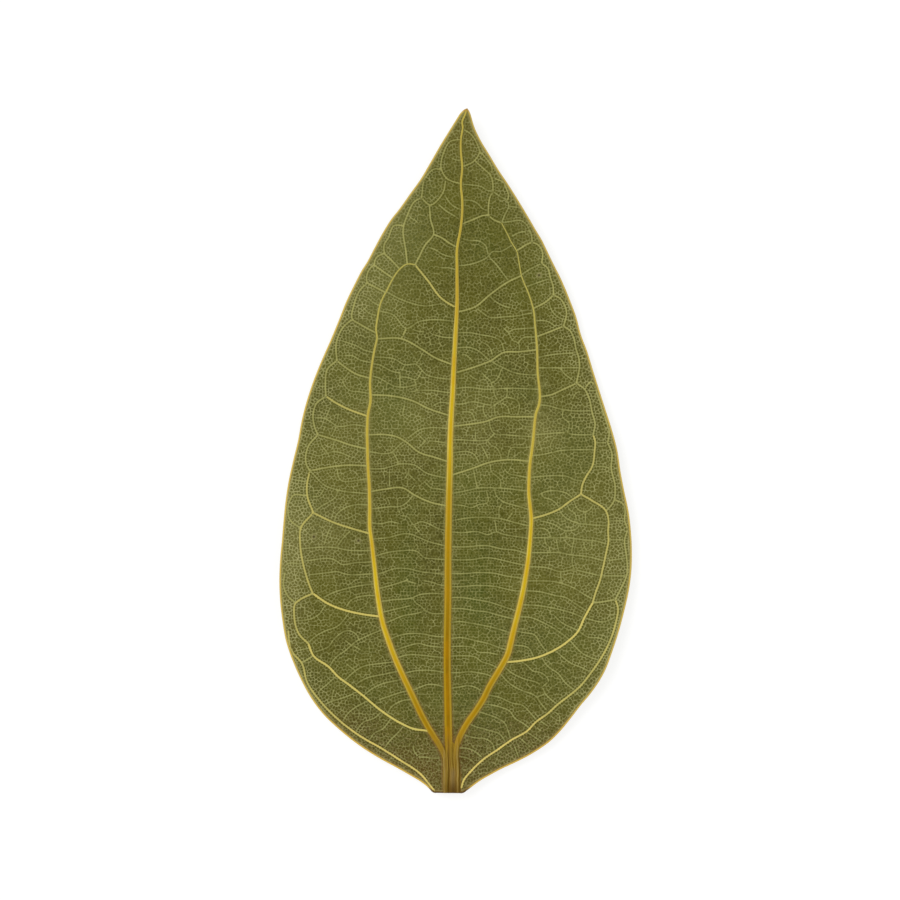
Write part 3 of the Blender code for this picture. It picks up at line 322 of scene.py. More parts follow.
# %% The traced third veins of the two flanks
CROSS_ROUTES += [
    [(341, 340), (350, 343), (358, 346), (361, 348), (374, 352)],
    [(344, 355), (352, 355), (359, 359), (371, 362)],
    [(342, 380), (345, 386), (350, 390), (359, 391), (370, 393)], [(328, 373), (333, 375), (334, 377)],
    [(349, 371), (346, 375), (343, 379)],
    [(313, 417), (325, 418), (330, 421), (336, 425), (355, 424), (367, 426)],
    [(330, 406), (328, 411), (325, 418)], [(325, 425), (323, 430)], [(338, 412), (337, 419)],
    [(349, 415), (355, 419)], [(336, 425), (334, 430), (331, 436)],
    [(320, 441), (322, 446), (327, 452), (329, 457)],
    [(311, 453), (317, 455), (327, 452), (336, 451), (350, 456)], [(334, 439), (332, 449)],
    [(361, 295), (367, 297), (372, 301), (379, 305)], [(363, 307), (368, 312), (376, 315)],
    [(336, 465), (339, 478), (368, 478)], [(313, 512), (320, 506), (327, 502), (336, 495), (337, 490)],
    [(323, 489), (319, 495), (312, 496)],
    [(334, 521), (336, 514), (339, 511), (343, 508), (355, 504), (369, 504)],
    [(333, 522), (328, 531), (324, 543)], [(301, 548), (310, 547), (336, 547), (345, 549), (372, 550)],
    [(336, 547), (343, 537), (350, 530)], [(303, 560), (336, 560), (340, 563), (355, 562), (373, 561)],
    [(308, 574), (326, 572), (338, 571), (344, 573), (374, 573)],
    [(323, 597), (330, 593), (345, 588), (359, 585), (376, 583)],
    [(346, 606), (350, 600), (365, 595), (377, 595)],
    [(308, 642), (313, 637), (325, 630), (336, 626), (341, 622), (345, 617), (349, 611)],
    [(294, 620), (313, 617), (321, 611), (323, 607), (328, 603)],
    [(329, 666), (334, 658), (346, 649), (355, 641), (365, 636), (384, 628)], [(353, 645), (360, 649)],
    [(344, 639), (350, 644)], [(315, 651), (329, 645), (333, 639), (349, 630), (357, 635), (359, 640)],
    [(344, 680), (349, 675), (355, 670), (362, 666), (378, 663), (396, 661)],
    [(346, 663), (351, 667), (355, 670)], [(317, 695), (319, 690), (326, 684), (334, 677), (337, 675)],
    [(352, 687), (359, 681), (367, 677), (381, 674), (400, 670)],
    [(363, 695), (370, 689), (382, 683), (390, 681), (404, 678)],
    [(324, 704), (327, 702), (332, 700), (345, 696), (357, 691)], [(334, 688), (332, 694), (332, 700)],
    [(342, 721), (347, 713), (359, 704), (368, 700)], [(355, 731), (363, 721), (374, 717), (381, 711)],
    [(369, 739), (374, 732), (382, 728), (391, 717)], [(383, 748), (390, 739), (399, 730), (403, 725)],
    [(378, 699), (390, 695), (399, 692), (411, 689)], [(387, 713), (391, 706), (399, 701), (415, 698)],
    [(299, 649), (310, 647)], [(305, 675), (312, 674)],
    [(327, 369), (322, 370), (318, 374), (315, 379), (316, 384), (324, 386)],
    [(316, 384), (313, 392), (313, 396), (319, 400)], [(309, 401), (314, 404)],
    [(312, 422), (305, 422), (303, 427), (303, 431), (307, 433)], [(301, 442), (307, 445)],
    [(331, 363), (327, 359), (326, 354)], [(295, 466), (298, 464), (306, 464)], [(294, 479), (306, 481)],
    [(284, 575), (284, 566), (287, 563), (301, 563)], [(286, 540), (286, 550), (287, 558)],
    [(282, 597), (287, 595)], [(511, 236), (519, 232), (530, 231)], [(550, 278), (543, 280), (526, 286)],
    [(548, 300), (552, 311), (557, 316), (564, 319)], [(569, 330), (572, 326), (574, 320), (572, 314)],
    [(535, 320), (545, 320), (550, 322), (555, 326)], [(537, 357), (545, 355), (560, 353), (577, 352)],
    [(538, 367), (554, 367), (578, 367)], [(560, 368), (564, 373), (572, 379)],
    [(539, 404), (548, 405), (559, 408), (572, 410), (591, 410)],
    [(563, 409), (562, 416), (569, 423), (568, 428), (567, 432)],
    [(533, 434), (547, 433), (560, 432), (577, 434), (592, 434)],
    [(557, 433), (551, 442), (550, 447), (553, 449)],
    [(531, 455), (541, 454), (559, 450), (576, 449), (594, 449)], [(580, 391), (576, 392), (572, 399)],
    [(529, 477), (549, 475), (559, 475), (568, 476), (574, 479), (582, 480)],
    [(540, 493), (545, 491), (556, 490), (567, 493), (572, 497)],
    [(541, 494), (544, 497), (549, 498), (555, 502), (559, 507)],
    [(559, 508), (562, 514), (567, 518), (580, 523), (591, 524), (607, 525)],
    [(567, 504), (569, 509), (574, 512), (576, 520)],
    [(573, 499), (578, 509), (585, 511), (589, 509), (593, 503)], [(585, 511), (585, 522)],
    [(532, 519), (544, 521), (554, 524), (565, 530), (578, 526), (579, 523)],
    [(560, 521), (565, 520), (569, 518)], [(539, 527), (546, 529), (549, 532), (550, 537)],
    [(565, 530), (566, 537)], [(530, 537), (554, 537), (567, 537), (583, 539), (594, 540), (606, 543)],
    [(583, 539), (584, 546), (587, 550), (591, 548), (591, 540)], [(556, 537), (557, 545), (559, 552)],
    [(574, 538), (572, 546), (571, 554)], [(545, 537), (545, 543), (549, 546), (549, 552)],
    [(572, 555), (572, 564), (574, 569)],
    [(527, 566), (546, 567), (560, 571), (574, 569), (583, 571), (600, 575)],
    [(525, 580), (559, 582), (573, 587), (586, 595), (592, 598)], [(560, 571), (561, 582)],
    [(574, 569), (570, 583)], [(522, 590), (539, 591), (556, 595), (566, 597), (572, 601), (586, 610)],
    [(520, 604), (539, 605), (560, 609), (574, 613), (583, 617)],
    [(517, 616), (531, 617), (541, 621), (554, 628), (560, 632), (568, 638)],
    [(554, 615), (559, 620), (578, 630)],
    [(514, 630), (524, 632), (534, 634), (539, 641), (543, 647), (548, 652)],
    [(511, 644), (529, 648), (533, 656)], [(584, 617), (595, 620), (601, 621), (615, 616)],
    [(578, 630), (587, 636), (599, 637), (608, 641)],
    [(569, 639), (576, 647), (580, 651), (589, 656), (599, 659)],
    [(555, 650), (562, 656), (570, 662), (580, 666), (590, 671)],
    [(541, 656), (546, 664), (559, 674), (564, 681), (574, 689)],
    [(521, 661), (527, 665), (532, 670), (541, 672), (548, 680), (543, 685)],
    [(502, 664), (511, 672), (521, 677), (541, 685), (545, 693), (556, 703)],
    [(498, 671), (511, 684), (520, 689), (536, 696), (540, 702), (546, 709)], [(536, 696), (545, 693)],
    [(487, 694), (500, 697), (511, 702), (523, 705), (529, 711), (536, 719)],
    [(480, 703), (499, 706), (510, 711), (514, 717), (522, 722), (529, 727)],
    [(475, 710), (488, 714), (496, 717), (504, 722), (508, 731), (510, 738)],
    [(467, 722), (473, 725), (490, 730), (499, 733), (505, 741)],
    [(461, 733), (474, 737), (485, 738), (492, 743), (494, 750)],
    [(457, 747), (469, 748), (475, 751), (481, 756)], [(457, 755), (469, 758), (474, 762)],
    [(608, 520), (624, 520)], [(608, 539), (624, 539)], [(604, 560), (613, 559), (626, 557)],
    [(600, 575), (625, 575)], [(591, 466), (604, 466), (610, 468)], [(595, 442), (607, 442)],
    [(585, 390), (597, 390)], [(617, 605), (623, 603)], [(614, 598), (610, 590), (607, 588)],
    [(540, 720), (547, 725)], [(550, 709), (559, 715), (559, 721)], [(532, 724), (541, 730)],
    [(526, 731), (534, 736), (541, 741)], [(518, 736), (530, 746)], [(514, 745), (518, 756)],
    [(574, 690), (580, 696)], [(569, 685), (573, 689)]]

print(len(CROSS_ROUTES), "third veins")

# %% [markdown]
# A traced vein has a point every few pixels. A cubic curve through them gives as many points as the
# mesh needs. The other helpers measure how far points are from such a line, and whether they are
# inside the margin. They work on whole arrays at once, because a plain Python loop over tens of
# thousands of points would take minutes.

# %% Helpers for lines
GROUP = 4000


def run_and_stations(line, step):
    """How far along a line each of its points is, and even stations on it about one step apart."""
    run = np.concatenate(([0.0], np.cumsum(np.hypot(*np.diff(line, axis=0).T))))
    return run, np.linspace(0.0, run[-1], max(1, round(run[-1] / step)) + 1)


def smooth_route(points, step):
    """Points about one step apart on a smooth curve through the traced ones."""
    knots = place(points)
    run, stations = run_and_stations(knots, step)
    slopes = np.gradient(knots, run, axis=0)
    first = np.clip(np.searchsorted(run, stations, side="right") - 1, 0, len(run) - 2)
    span = (run[first + 1] - run[first])[:, None]
    u = (stations - run[first])[:, None] / span
    start = knots[first] * (1 + 2 * u) * (1 - u) ** 2 + slopes[first] * span * u * (1 - u) ** 2
    end = knots[first + 1] * u ** 2 * (3 - 2 * u) + slopes[first + 1] * span * u ** 2 * (u - 1)
    return start + end


def thinned(line, step):
    """The points of a line at about the given step, its two ends included."""
    run, stations = run_and_stations(line, step)
    return np.stack([np.interp(stations, run, line[:, axis]) for axis in (0, 1)], axis=1)


def left_normals(line):
    """The unit direction to the left of a line at each of its points."""
    along = np.gradient(line, axis=0)
    along /= np.hypot(*along.T)[:, None]
    return np.stack((-along[:, 1], along[:, 0]), axis=1)


def distance_to_line(points, line):
    """How far each point is from a line."""
    start, run = line[:-1], np.diff(line, axis=0)
    away = points[:, None, :] - start[None]
    share = np.clip((away * run).sum(axis=2) / (run ** 2).sum(axis=1), 0.0, 1.0)
    return np.hypot(*np.moveaxis(away - share[..., None] * run, 2, 0)).min(axis=1)


def near_box(points, line, reach):
    """The indices of the points that lie in a line's box, widened by the reach."""
    low, high = line.min(axis=0) - reach, line.max(axis=0) + reach
    return np.flatnonzero(np.all((points > low) & (points < high), axis=1))


def closeness(points, lines, reach):
    """1 on the nearest of the lines, falling to 0 at the reach and beyond."""
    near = np.zeros(len(points))
    for line in lines:
        found = near_box(points, line, reach)
        if len(found):
            gap = distance_to_line(points[found], line)
            near[found] = np.maximum(near[found], 1 - gap / reach)
    return near


def inside(points, ring):
    """Which points lie inside the closed ring; a group at a time, to keep the arrays small."""
    ax, ay = ring.T
    bx, by = np.roll(ring, -1, axis=0).T
    slope = (bx - ax) / np.where(by == ay, 1.0, by - ay)
    answers = []
    for group in np.array_split(points, len(points) // GROUP + 1):
        x, y = group[:, 0, None], group[:, 1, None]
        crossings = ((ay > y) != (by > y)) & (x < ax + (y - ay) * slope)
        answers.append(crossings.sum(axis=1) % 2 == 1)
    return np.concatenate(answers)


def short_runs(line, length=8):
    """A long line as short ones, so that only the points near each of them are measured."""
    return [line[i:i + length + 1] for i in range(0, len(line) - 1, length)]


def all_short_runs(lines):
    """The short runs of several lines in one list."""
    return [run for line in lines for run in short_runs(line, length=30)]


# %% Smooth the traced lines
FINE = 0.5 * MM
right, left = smooth_route(RIGHT_SIDE, FINE), smooth_route(LEFT_SIDE, FINE)
cut = smooth_route([RIGHT_SIDE[-1], LEFT_SIDE[-1]], FINE)
margin = np.concatenate((right[:-1], cut[:-1], left[:0:-1]))
margin_line = np.concatenate((margin, margin[:1]))
split_line = smooth_route(SPLIT_ROUTE, FINE)
rib_lines = [smooth_route(route, FINE) for route in (MIDRIB_ROUTE, LEFT_RIB_ROUTE, RIGHT_RIB_ROUTE)]
loop_lines = [smooth_route(route, FINE) for route in LOOP_ROUTES]
cross_lines = [smooth_route(route, FINE) for route in CROSS_ROUTES]
strong_lines = [line for k, line in enumerate(loop_lines) if k not in FAINT_LOOPS]
thin_lines = cross_lines + [loop_lines[k] for k in FAINT_LOOPS]
yellow_lines = [loop_lines[k] for k in YELLOW_LOOPS]
great_lines = [loop_lines[k] for k in GREAT_LOOPS]
vein_length = sum(np.hypot(*np.diff(line, axis=0).T).sum() for line in loop_lines + cross_lines)
print("veins to draw:", round(vein_length, 2), "m")

# %% [markdown]
# The blade isn't quite flat. It is lowest round its middle, where it rests, rises a little towards the
# margin and waves gently along both sides. The CAD solid has the same form, so the same formula is
# used here, and the pieces below all stand on it.

# %% The form of the blade
REST_SPOT = (0.0, -7 * MM)
REST_RADII = (10 * MM, 18 * MM)
DISH = 0.5 * MM
WAVE = 0.24 * MM
WAVE_LENGTH = 36 * MM
WAVE_TURN = 1.7
UNDER_GAP = 0.15 * MM
LOWEST = 0.02 * MM
BLADE = 0.35 * MM


def dish_height(x, y):
    """How far the blade stands off the surface: nothing on the rest spot, more towards the margin."""
    away = np.hypot((x - REST_SPOT[0]) / REST_RADII[0], (y - REST_SPOT[1]) / REST_RADII[1])
    lift = np.clip(away - 1, 0.0, None)
    turn = WAVE_TURN * np.sign(x) * np.minimum(np.abs(x) / REST_RADII[0], 1)
    swing = np.sin(math.tau * y / WAVE_LENGTH + turn)
    return DISH * lift ** 2 + WAVE * lift * (1 + swing)


print("margin stands up to", round(dish_height(*margin.T).max() / MM, 2), "mm off the surface")

# %% [markdown]
# The finest veins of a leaf close small fields, half a millimetre across, round patches of green tissue.
# A Voronoi pattern has the same look: each seed owns the area nearest to it, and the borders form a
# net. A border lies midway between two seeds, so a pair of seeds set mirrored across a traced vein puts
# a border exactly on that vein. Pairs along the margin cut the blade's edge in the same way, and pairs
# along the midrib split it in two halves. Between the ribs the rest is filled with straight rows, whose
# borders run from rib to rib like the rungs of a ladder. The flanks and the top of the leaf get loose
# seeds, as their net has no direction.

# %% Scatter the seeds
SPLIT_STEP, SPLIT_SIDESTEP = 0.5 * MM, 0.2 * MM
MARGIN_STEP, MARGIN_SIDESTEP, MARGIN_GAP = 0.44 * MM, 0.17 * MM, 0.3 * MM
LOOP_STEP, CROSS_STEP = 0.5 * MM, 0.56 * MM
SIDESTEP = 0.22 * MM
SEED_GAP = 0.32 * MM
FILL_GAP = 0.36 * MM
KEPT_OFF = 0.4 * MM
LADDER_TOP = 430
ROW_STEP, COLUMN_STEP = 0.5 * MM, 0.58 * MM
ROW_JITTER, COLUMN_JITTER = 0.06, 0.25
LOOSE_TRIES, LOOSE_GAP = 160000, 0.43 * MM


class Scatter:
    """Seeds that keep their distance: a group is refused where one of it is too near an old seed."""

    def __init__(self, cell):
        self.cell = cell
        self.bins = {}
        self.points = []

    def bin_of(self, point):
        """The square of the grid that a point lies in."""
        return int(point[0] // self.cell), int(point[1] // self.cell)

    def free(self, point, gap):
        """Whether no seed lies nearer to the point than the gap."""
        i, j = self.bin_of(point)
        for near_i in (i - 1, i, i + 1):
            for near_j in (j - 1, j, j + 1):
                for x, y in self.bins.get((near_i, near_j), ()):
                    if (x - point[0]) ** 2 + (y - point[1]) ** 2 < gap * gap:
                        return False
        return True

    def add(self, groups, gap):
        """Adds each group of points that is free as a whole, in the order given."""
        for group in groups.tolist():
            if all(self.free(point, gap) for point in group):
                for point in group:
                    self.points.append(point)
                    self.bins.setdefault(self.bin_of(point), []).append(point)


def mirrored_pairs(line, side):
    """Two seeds for each point of a line, one on each side of it."""
    shift = left_normals(line) * side
    return np.stack((line + shift, line - shift), axis=1)


random.seed(7)
scatter = Scatter(FILL_GAP)
scatter.add(mirrored_pairs(thinned(split_line, SPLIT_STEP), SPLIT_SIDESTEP), 0)
scatter.add(mirrored_pairs(thinned(margin_line, MARGIN_STEP), MARGIN_SIDESTEP), MARGIN_GAP)
for line in loop_lines:
    scatter.add(mirrored_pairs(thinned(line, LOOP_STEP), SIDESTEP), SEED_GAP)
for line in cross_lines:
    scatter.add(mirrored_pairs(thinned(line, CROSS_STEP), SIDESTEP), SEED_GAP)
print(len(scatter.points), "seeds beside the traced lines")

# %% Fill the fields between the traced lines with seeds
low, high = margin.min(axis=0), margin.max(axis=0)


def between_ribs(points):
    """Which points lie between the two side ribs, below the top of the ladder."""
    first, last = [np.interp(points[:, 1], line[:, 1], line[:, 0]) for line in rib_lines[1:]]
    return (points[:, 0] > first) & (points[:, 0] < last) & (rows_of(points) > LADDER_TOP)


def kept_off_margin(points):
    """The points inside the leaf that leave room for the pairs along its margin, as groups of one."""
    points = points[inside(points, margin)]
    return points[closeness(points, short_runs(margin_line), KEPT_OFF) == 0][:, None]


rungs = []
for y in np.arange(low[1], high[1], ROW_STEP):
    for x in np.arange(low[0], high[0], COLUMN_STEP):
        aside = random.uniform(-COLUMN_JITTER, COLUMN_JITTER) * MM
        rungs.append((x + aside, y + random.uniform(-ROW_JITTER, ROW_JITTER) * MM))
rungs = np.array(rungs)
scatter.add(kept_off_margin(rungs[between_ribs(rungs)]), FILL_GAP)
loose = [(random.uniform(low[0], high[0]), random.uniform(low[1], high[1])) for _ in range(LOOSE_TRIES)]
scatter.add(kept_off_margin(np.array(loose)), LOOSE_GAP)
seeds = np.array(scatter.points)
print(len(seeds), "seeds")

# %% [markdown]
# Now the cells. A Delaunay triangulation joins the seeds. Poking each triangle gives it a middle
# vertex, which is moved to the centre of the circle through the triangle's corners, and turning each
# old edge then makes the borders between the cells. So every cell is a fan of triangles round its
# seed, ready to be sunk a little between raised borders.

# %% Build the flat sheet of cells
SAME_POINT = 1e-5


def circle_centres(a, b, c):
    """The centre of the circle through three points, for arrays of points."""
    p, q = b - a, c - a
    twice = 2 * (p[:, 0] * q[:, 1] - p[:, 1] * q[:, 0])
    pp, qq = (p ** 2).sum(axis=1), (q ** 2).sum(axis=1)
    x = (q[:, 1] * pp - p[:, 1] * qq) / twice
    y = (p[:, 0] * qq - q[:, 0] * pp) / twice
    return a + np.stack((x, y), axis=1)


def cell_sheet(points):
    """A flat mesh in millimetres with one fan of triangles for each point's Voronoi cell."""
    flat = [Vector(point) for point in points / MM]
    corners, _, triangles, *_ = delaunay_2d_cdt(flat, [], [], 0, SAME_POINT)
    form = bmesh.new()
    border, branch = form.verts.layers.float.new("net"), form.verts.layers.float.new("branch")
    verts = [form.verts.new((corner.x, corner.y, 0)) for corner in corners]
    for triangle in triangles:
        form.faces.new([verts[i] for i in triangle])
    old_edges = [edge for edge in form.edges if len(edge.link_faces) == 2]
    poked = bmesh.ops.poke(form, faces=list(form.faces))["verts"]
    bmesh.ops.rotate_edges(form, edges=old_edges, use_ccw=False)
    return form, border, branch, verts, poked


sheet, border, branch, seed_verts, middle_verts = cell_sheet(seeds)
seed_set = set(seed_verts)
left_over = [edge for edge in sheet.edges if len(edge.link_faces) == 2 and seed_set.issuperset(edge.verts)]
print(len(sheet.faces), "faces;", len(left_over), "edges that didn't turn")

# %% [markdown]
# In a real net a few of the fine lines are bolder than the rest. They close fields three or four cells
# across. So each cell joins the nearest of some sparse field centres, and a corner where two fields
# meet is marked as a branch. Lengths are in millimetres here, as in the sheet.

# %% Turn the last edges and move the middles to the borders' corners
FARTHEST = 1.5
MERGE = 0.02
FIELD_WIDE, FIELD_HIGH = 2.1, 1.5
FIELD_SHIFT, FIELD_LIFT, FIELD_FLATTEN = 0.8, 0.6, 1.3

spots_of_fields = []
for y in np.arange(low[1] / MM, high[1] / MM, FIELD_HIGH):
    for x in np.arange(low[0] / MM, high[0] / MM, FIELD_WIDE):
        aside = random.uniform(-FIELD_SHIFT, FIELD_SHIFT)
        raised = random.uniform(-FIELD_LIFT, FIELD_LIFT)
        spots_of_fields.append((x + aside, (y + raised) * FIELD_FLATTEN, 0))
fields = KDTree(len(spots_of_fields))
for k, spot in enumerate(spots_of_fields):
    fields.insert(spot, k)
fields.balance()
field_of = {vert: fields.find((vert.co.x, vert.co.y * FIELD_FLATTEN, 0))[1] for vert in seed_verts}

for edge in left_over:
    bmesh.ops.rotate_edges(sheet, edges=[edge], use_ccw=False)
corners = []
for middle in middle_verts:
    middle[border] = 1.0
    around = [vert for vert in (edge.other_vert(middle) for edge in middle.link_edges) if vert in seed_set]
    middle[branch] = 1.0 if len({field_of[vert] for vert in around}) > 1 else 0.0
    corners.append([vert.co.xy[:] for vert in around])
corners = np.array(corners)
centres = circle_centres(corners[:, 0], corners[:, 1], corners[:, 2])
too_far = np.hypot(*(centres - corners.mean(axis=1)).T) > FARTHEST
centres[too_far] = corners.mean(axis=1)[too_far]
for middle, (x, y) in zip(middle_verts, centres):
    middle.co = (x, y, 0)
bmesh.ops.remove_doubles(sheet, verts=[v for v in sheet.verts if v[border]], dist=MERGE)
print(len(sheet.faces), "faces,", int(too_far.sum()), "middles kept where they were")

# %% [markdown]
# Each point of the sheet learns how close it is to every kind of vein. These numbers do two jobs. They
# raise the veins out of the blade, and they go to the material as attributes, so that colour and form
# always agree. The veins stand out of the underside too, as on a real leaf, but less. Some places of
# the photographed leaf are paler, greener or browner than the rest. They are soft round patches, listed
# as column, row, half width and half height in pixels, and strength.

# %% Measures over the blade
LOOP_REACH, CROSS_REACH = 0.45 * MM, 0.4 * MM
EDGE_REACH, FLANK_REACH = 0.8 * MM, 6 * MM
HALO_REACH, BESIDE_REACH = 0.7 * MM, 3 * MM
LOOP_HALF, LOOP_HIGH = 0.27 * MM, 0.2 * MM
CROSS_HALF, CROSS_HIGH = 0.22 * MM, 0.1 * MM
NET_HIGH = 0.035 * MM
FILLET_HIGH = 0.12 * MM
BEAD_INSET, BEAD_HALF, BEAD_HIGH = 0.2 * MM, 0.26 * MM, 0.08 * MM
EDGE_DROP = 0.09 * MM
UNDER_SHARE = 0.7
MOST_PATCH = 1.3


def rib_half(widths, rows):
    """Half of a rib's traced width at the given rows, in metres."""
    return np.interp(rows, *zip(*widths)) * PIXEL / 2


def rib_closeness(points):
    """1 at and under a rib's side, falling to 0 where its halo ends."""
    near = np.zeros(len(points))
    for line, widths in zip(rib_lines, (MIDRIB_WIDTHS, LEFT_RIB_WIDTHS, RIGHT_RIB_WIDTHS)):
        for run in short_runs(line, length=40):
            found = near_box(points, run, 2 * HALO_REACH)
            half = rib_half(widths, rows_of(points[found]))
            gap = np.maximum(distance_to_line(points[found], run) - half, 0)
            near[found] = np.maximum(near[found], 1 - gap / HALO_REACH)
    return near


def ridge(near, reach, half):
    """The height profile of a vein, from how close a point is to its line."""
    return np.clip(1 - ((1 - near) * reach / half) ** 2, 0.0, 1.0)


def spots(points, patches):
    """How much of the soft round patches each point gets."""
    column, row = points[:, 0] / PIXEL + MIDDLE_COLUMN, rows_of(points)
    total = np.zeros(len(points))
    for x, y, wide, high, strength in patches:
        total += strength * np.exp(-((column - x) / wide) ** 2 - ((row - y) / high) ** 2)
    return np.clip(total, 0.0, MOST_PATCH)


PALE_PATCHES = [
    (322, 530, 26, 36, 0.8), (543, 430, 20, 24, 0.8), (290, 555, 15, 80, 1.3), (580, 540, 36, 60, 0.45),
    (616, 560, 9, 60, 0.2), (470, 150, 26, 26, 0.2), (398, 225, 30, 44, 0.9), (345, 430, 34, 70, 0.55),
    (412, 415, 30, 50, 0.5), (478, 420, 26, 44, 0.5), (372, 300, 34, 44, 0.85)]
GREEN_PATCHES = [
    (407, 595, 14, 60, 0.8), (478, 590, 24, 80, 0.7), (410, 225, 26, 60, 0.7), (500, 240, 24, 50, 0.3),
    (540, 700, 32, 28, 0.65), (380, 320, 24, 30, 0.5), (480, 720, 22, 30, 0.4), (410, 720, 12, 40, 0.4),
    (395, 385, 26, 34, 0.5), (345, 350, 16, 24, 0.4), (560, 250, 16, 30, 0.3)]
BROWN_PATCHES = [
    (540, 700, 30, 28, 0.25), (451, 772, 32, 28, 1.0), (398, 752, 15, 7, 0.8), (413, 763, 13, 7, 0.9),
    (425, 774, 11, 9, 0.9), (330, 720, 40, 12, 0.4), (290, 640, 6, 40, 0.4), (462, 130, 20, 20, 0.4),
    (452, 742, 20, 14, 0.5)]


def measure_blade(points, net):
    """The attributes of the blade's points, and the relief of the upper face."""
    found = {"net": net}
    for key, lines in (("loop", strong_lines), ("yellow", yellow_lines), ("great", great_lines)):
        found[key] = closeness(points, all_short_runs(lines), LOOP_REACH)
    found["cross"] = closeness(points, thin_lines, CROSS_REACH)
    found["edge"] = closeness(points, short_runs(margin_line), EDGE_REACH)
    found["flank"] = closeness(points, short_runs(margin_line), FLANK_REACH)
    found["rib"] = rib_closeness(points)
    found["beside"] = closeness(points, all_short_runs(rib_lines), BESIDE_REACH)
    for key, patches in (("pale", PALE_PATCHES), ("green", GREEN_PATCHES), ("brown", BROWN_PATCHES)):
        found[key] = spots(points, patches)
    relief = NET_HIGH * net
    relief = np.maximum(relief, LOOP_HIGH * ridge(found["loop"], LOOP_REACH, LOOP_HALF))
    relief = np.maximum(relief, CROSS_HIGH * ridge(found["cross"], CROSS_REACH, CROSS_HALF))
    from_edge = (1 - found["edge"]) * EDGE_REACH
    bead = BEAD_HIGH * np.clip(1 - np.abs(from_edge - BEAD_INSET) / BEAD_HALF, 0.0, 1.0)
    return found, np.maximum(relief, bead) + FILLET_HIGH * found["rib"] ** 2


# %% [markdown]
# The leaf's tip is so sharp that the pairs of seeds don't fit there, and the cells end ragged. So the
# outer corners of the cells near the tip are brought onto the margin, and the nearest of them onto the
# tip itself.

# %% Bring the corners at the tip onto the margin
TIP_REACH = 1.8 * MM
CLOSE_STEP = 0.03 * MM
all_points = np.array([vert.co.xy for vert in sheet.verts]) * MM
is_seed = np.array([vert[border] == 0 for vert in sheet.verts])
in_leaf = inside(all_points, margin)

apex = margin[0]
close_margin = thinned(margin_line, CLOSE_STEP)
sheet.verts.index_update()
sheet.verts.ensure_lookup_table()
tip_rim = []
for k in np.flatnonzero(~is_seed & (np.hypot(*(all_points - apex).T) < TIP_REACH)):
    others = [edge.other_vert(sheet.verts[k]).index for edge in sheet.verts[k].link_edges]
    if len({bool(in_leaf[other]) for other in others if is_seed[other]}) == 2:
        tip_rim.append(int(k))
for k in tip_rim:
    all_points[k] = close_margin[np.argmin(np.hypot(*(close_margin - all_points[k]).T))]
all_points[min(tip_rim, key=lambda k: math.dist(all_points[k], apex))] = apex
for k in tip_rim:
    sheet.verts[k].co.xy = all_points[k] / MM
print(len(tip_rim), "corners brought onto the margin at the tip")

# %% [markdown]
# The sheet becomes two halves, split along the midrib, because each piece should stay well under
# 200,000 triangles. Extruding the faces and keeping the old ones gives an upper and a lower face with a
# rim between them. Then every point gets its height.

# %% Make the two halves of the blade
SHARP = math.radians(70)
RIM_FROM = 0.7
split_x = np.interp(-all_points[:, 1], -split_line[:, 1], split_line[:, 0])
on_left = all_points[:, 0] < split_x


def finished(form, name):
    """Turns a bmesh into an object of the scene that rides on the frame and stands for the leaf."""
    mesh = bpy.data.meshes.new(name)
    form.to_mesh(mesh)
    form.free()
    mesh.shade_smooth()
    mesh.set_sharp_from_angle(angle=SHARP)
    piece = bpy.data.objects.new(name, mesh)
    bpy.context.scene.collection.objects.link(piece)
    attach(piece, "root")
    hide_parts("leaf")
    print(name, len(mesh.polygons), "faces")
    return piece


def half_blade(name, wanted):
    """One half of the blade as a closed mesh object: the cells whose seeds are wanted."""
    form = sheet.copy()
    net = form.verts.layers.float["net"]
    unwanted = [vert for vert, keep in zip(form.verts, wanted | ~is_seed) if not keep]
    bmesh.ops.delete(form, geom=unwanted, context="VERTS")
    bmesh.ops.delete(form, geom=[vert for vert in form.verts if not vert.link_faces], context="VERTS")
    points = np.array([vert.co.xy for vert in form.verts]) * MM
    found, relief = measure_blade(points, np.array([vert[net] for vert in form.verts]))
    stand = dish_height(*points.T) + UNDER_GAP
    rim = np.array([vert.is_boundary for vert in form.verts]) & (found["edge"] > RIM_FROM)
    upper = stand + BLADE + relief - EDGE_DROP * rim
    lower = np.maximum(stand - UNDER_SHARE * relief + EDGE_DROP * rim, LOWEST)
    for key, values in found.items():
        layer = form.verts.layers.float.get(key) or form.verts.layers.float.new(key)
        for vert, value in zip(form.verts, values):
            vert[layer] = value
    under = form.verts.layers.float.new("under")
    lift = form.verts.layers.float.new("lift")
    for vert, (x, y), low, high in zip(form.verts, points, lower, upper):
        vert.co = (x, y, low)
        vert[lift] = high
        vert[under] = 1.0
    grown = bmesh.ops.extrude_face_region(form, geom=list(form.faces), use_keep_orig=True)
    for item in grown["geom"]:
        if isinstance(item, bmesh.types.BMVert):
            item.co.z = item[lift]
            item[under] = 0.0
    form.verts.layers.float.remove(lift)
    bmesh.ops.recalc_face_normals(form, faces=list(form.faces))
    return finished(form, name)


blade_left = half_blade("blade_left", is_seed & in_leaf & on_left)
blade_right = half_blade("blade_right", is_seed & in_leaf & ~on_left)
sheet.free()

# %% [markdown]
# The ribs are round straps that run through the blade: they stand high out of its upper face and a
# little out of its underside. One ring of edges is extruded from station to station along the traced
# line. Each ring starts as a unit circle, whose X and Y say how far across and how high its point is.

# %% Make the ribs and the stem stub
RING = 20
RIB_STEP = 0.4 * MM
FLAT_SIDE, FLAT_TOP = 0.85, 0.7
UNDER_FROM = -0.2


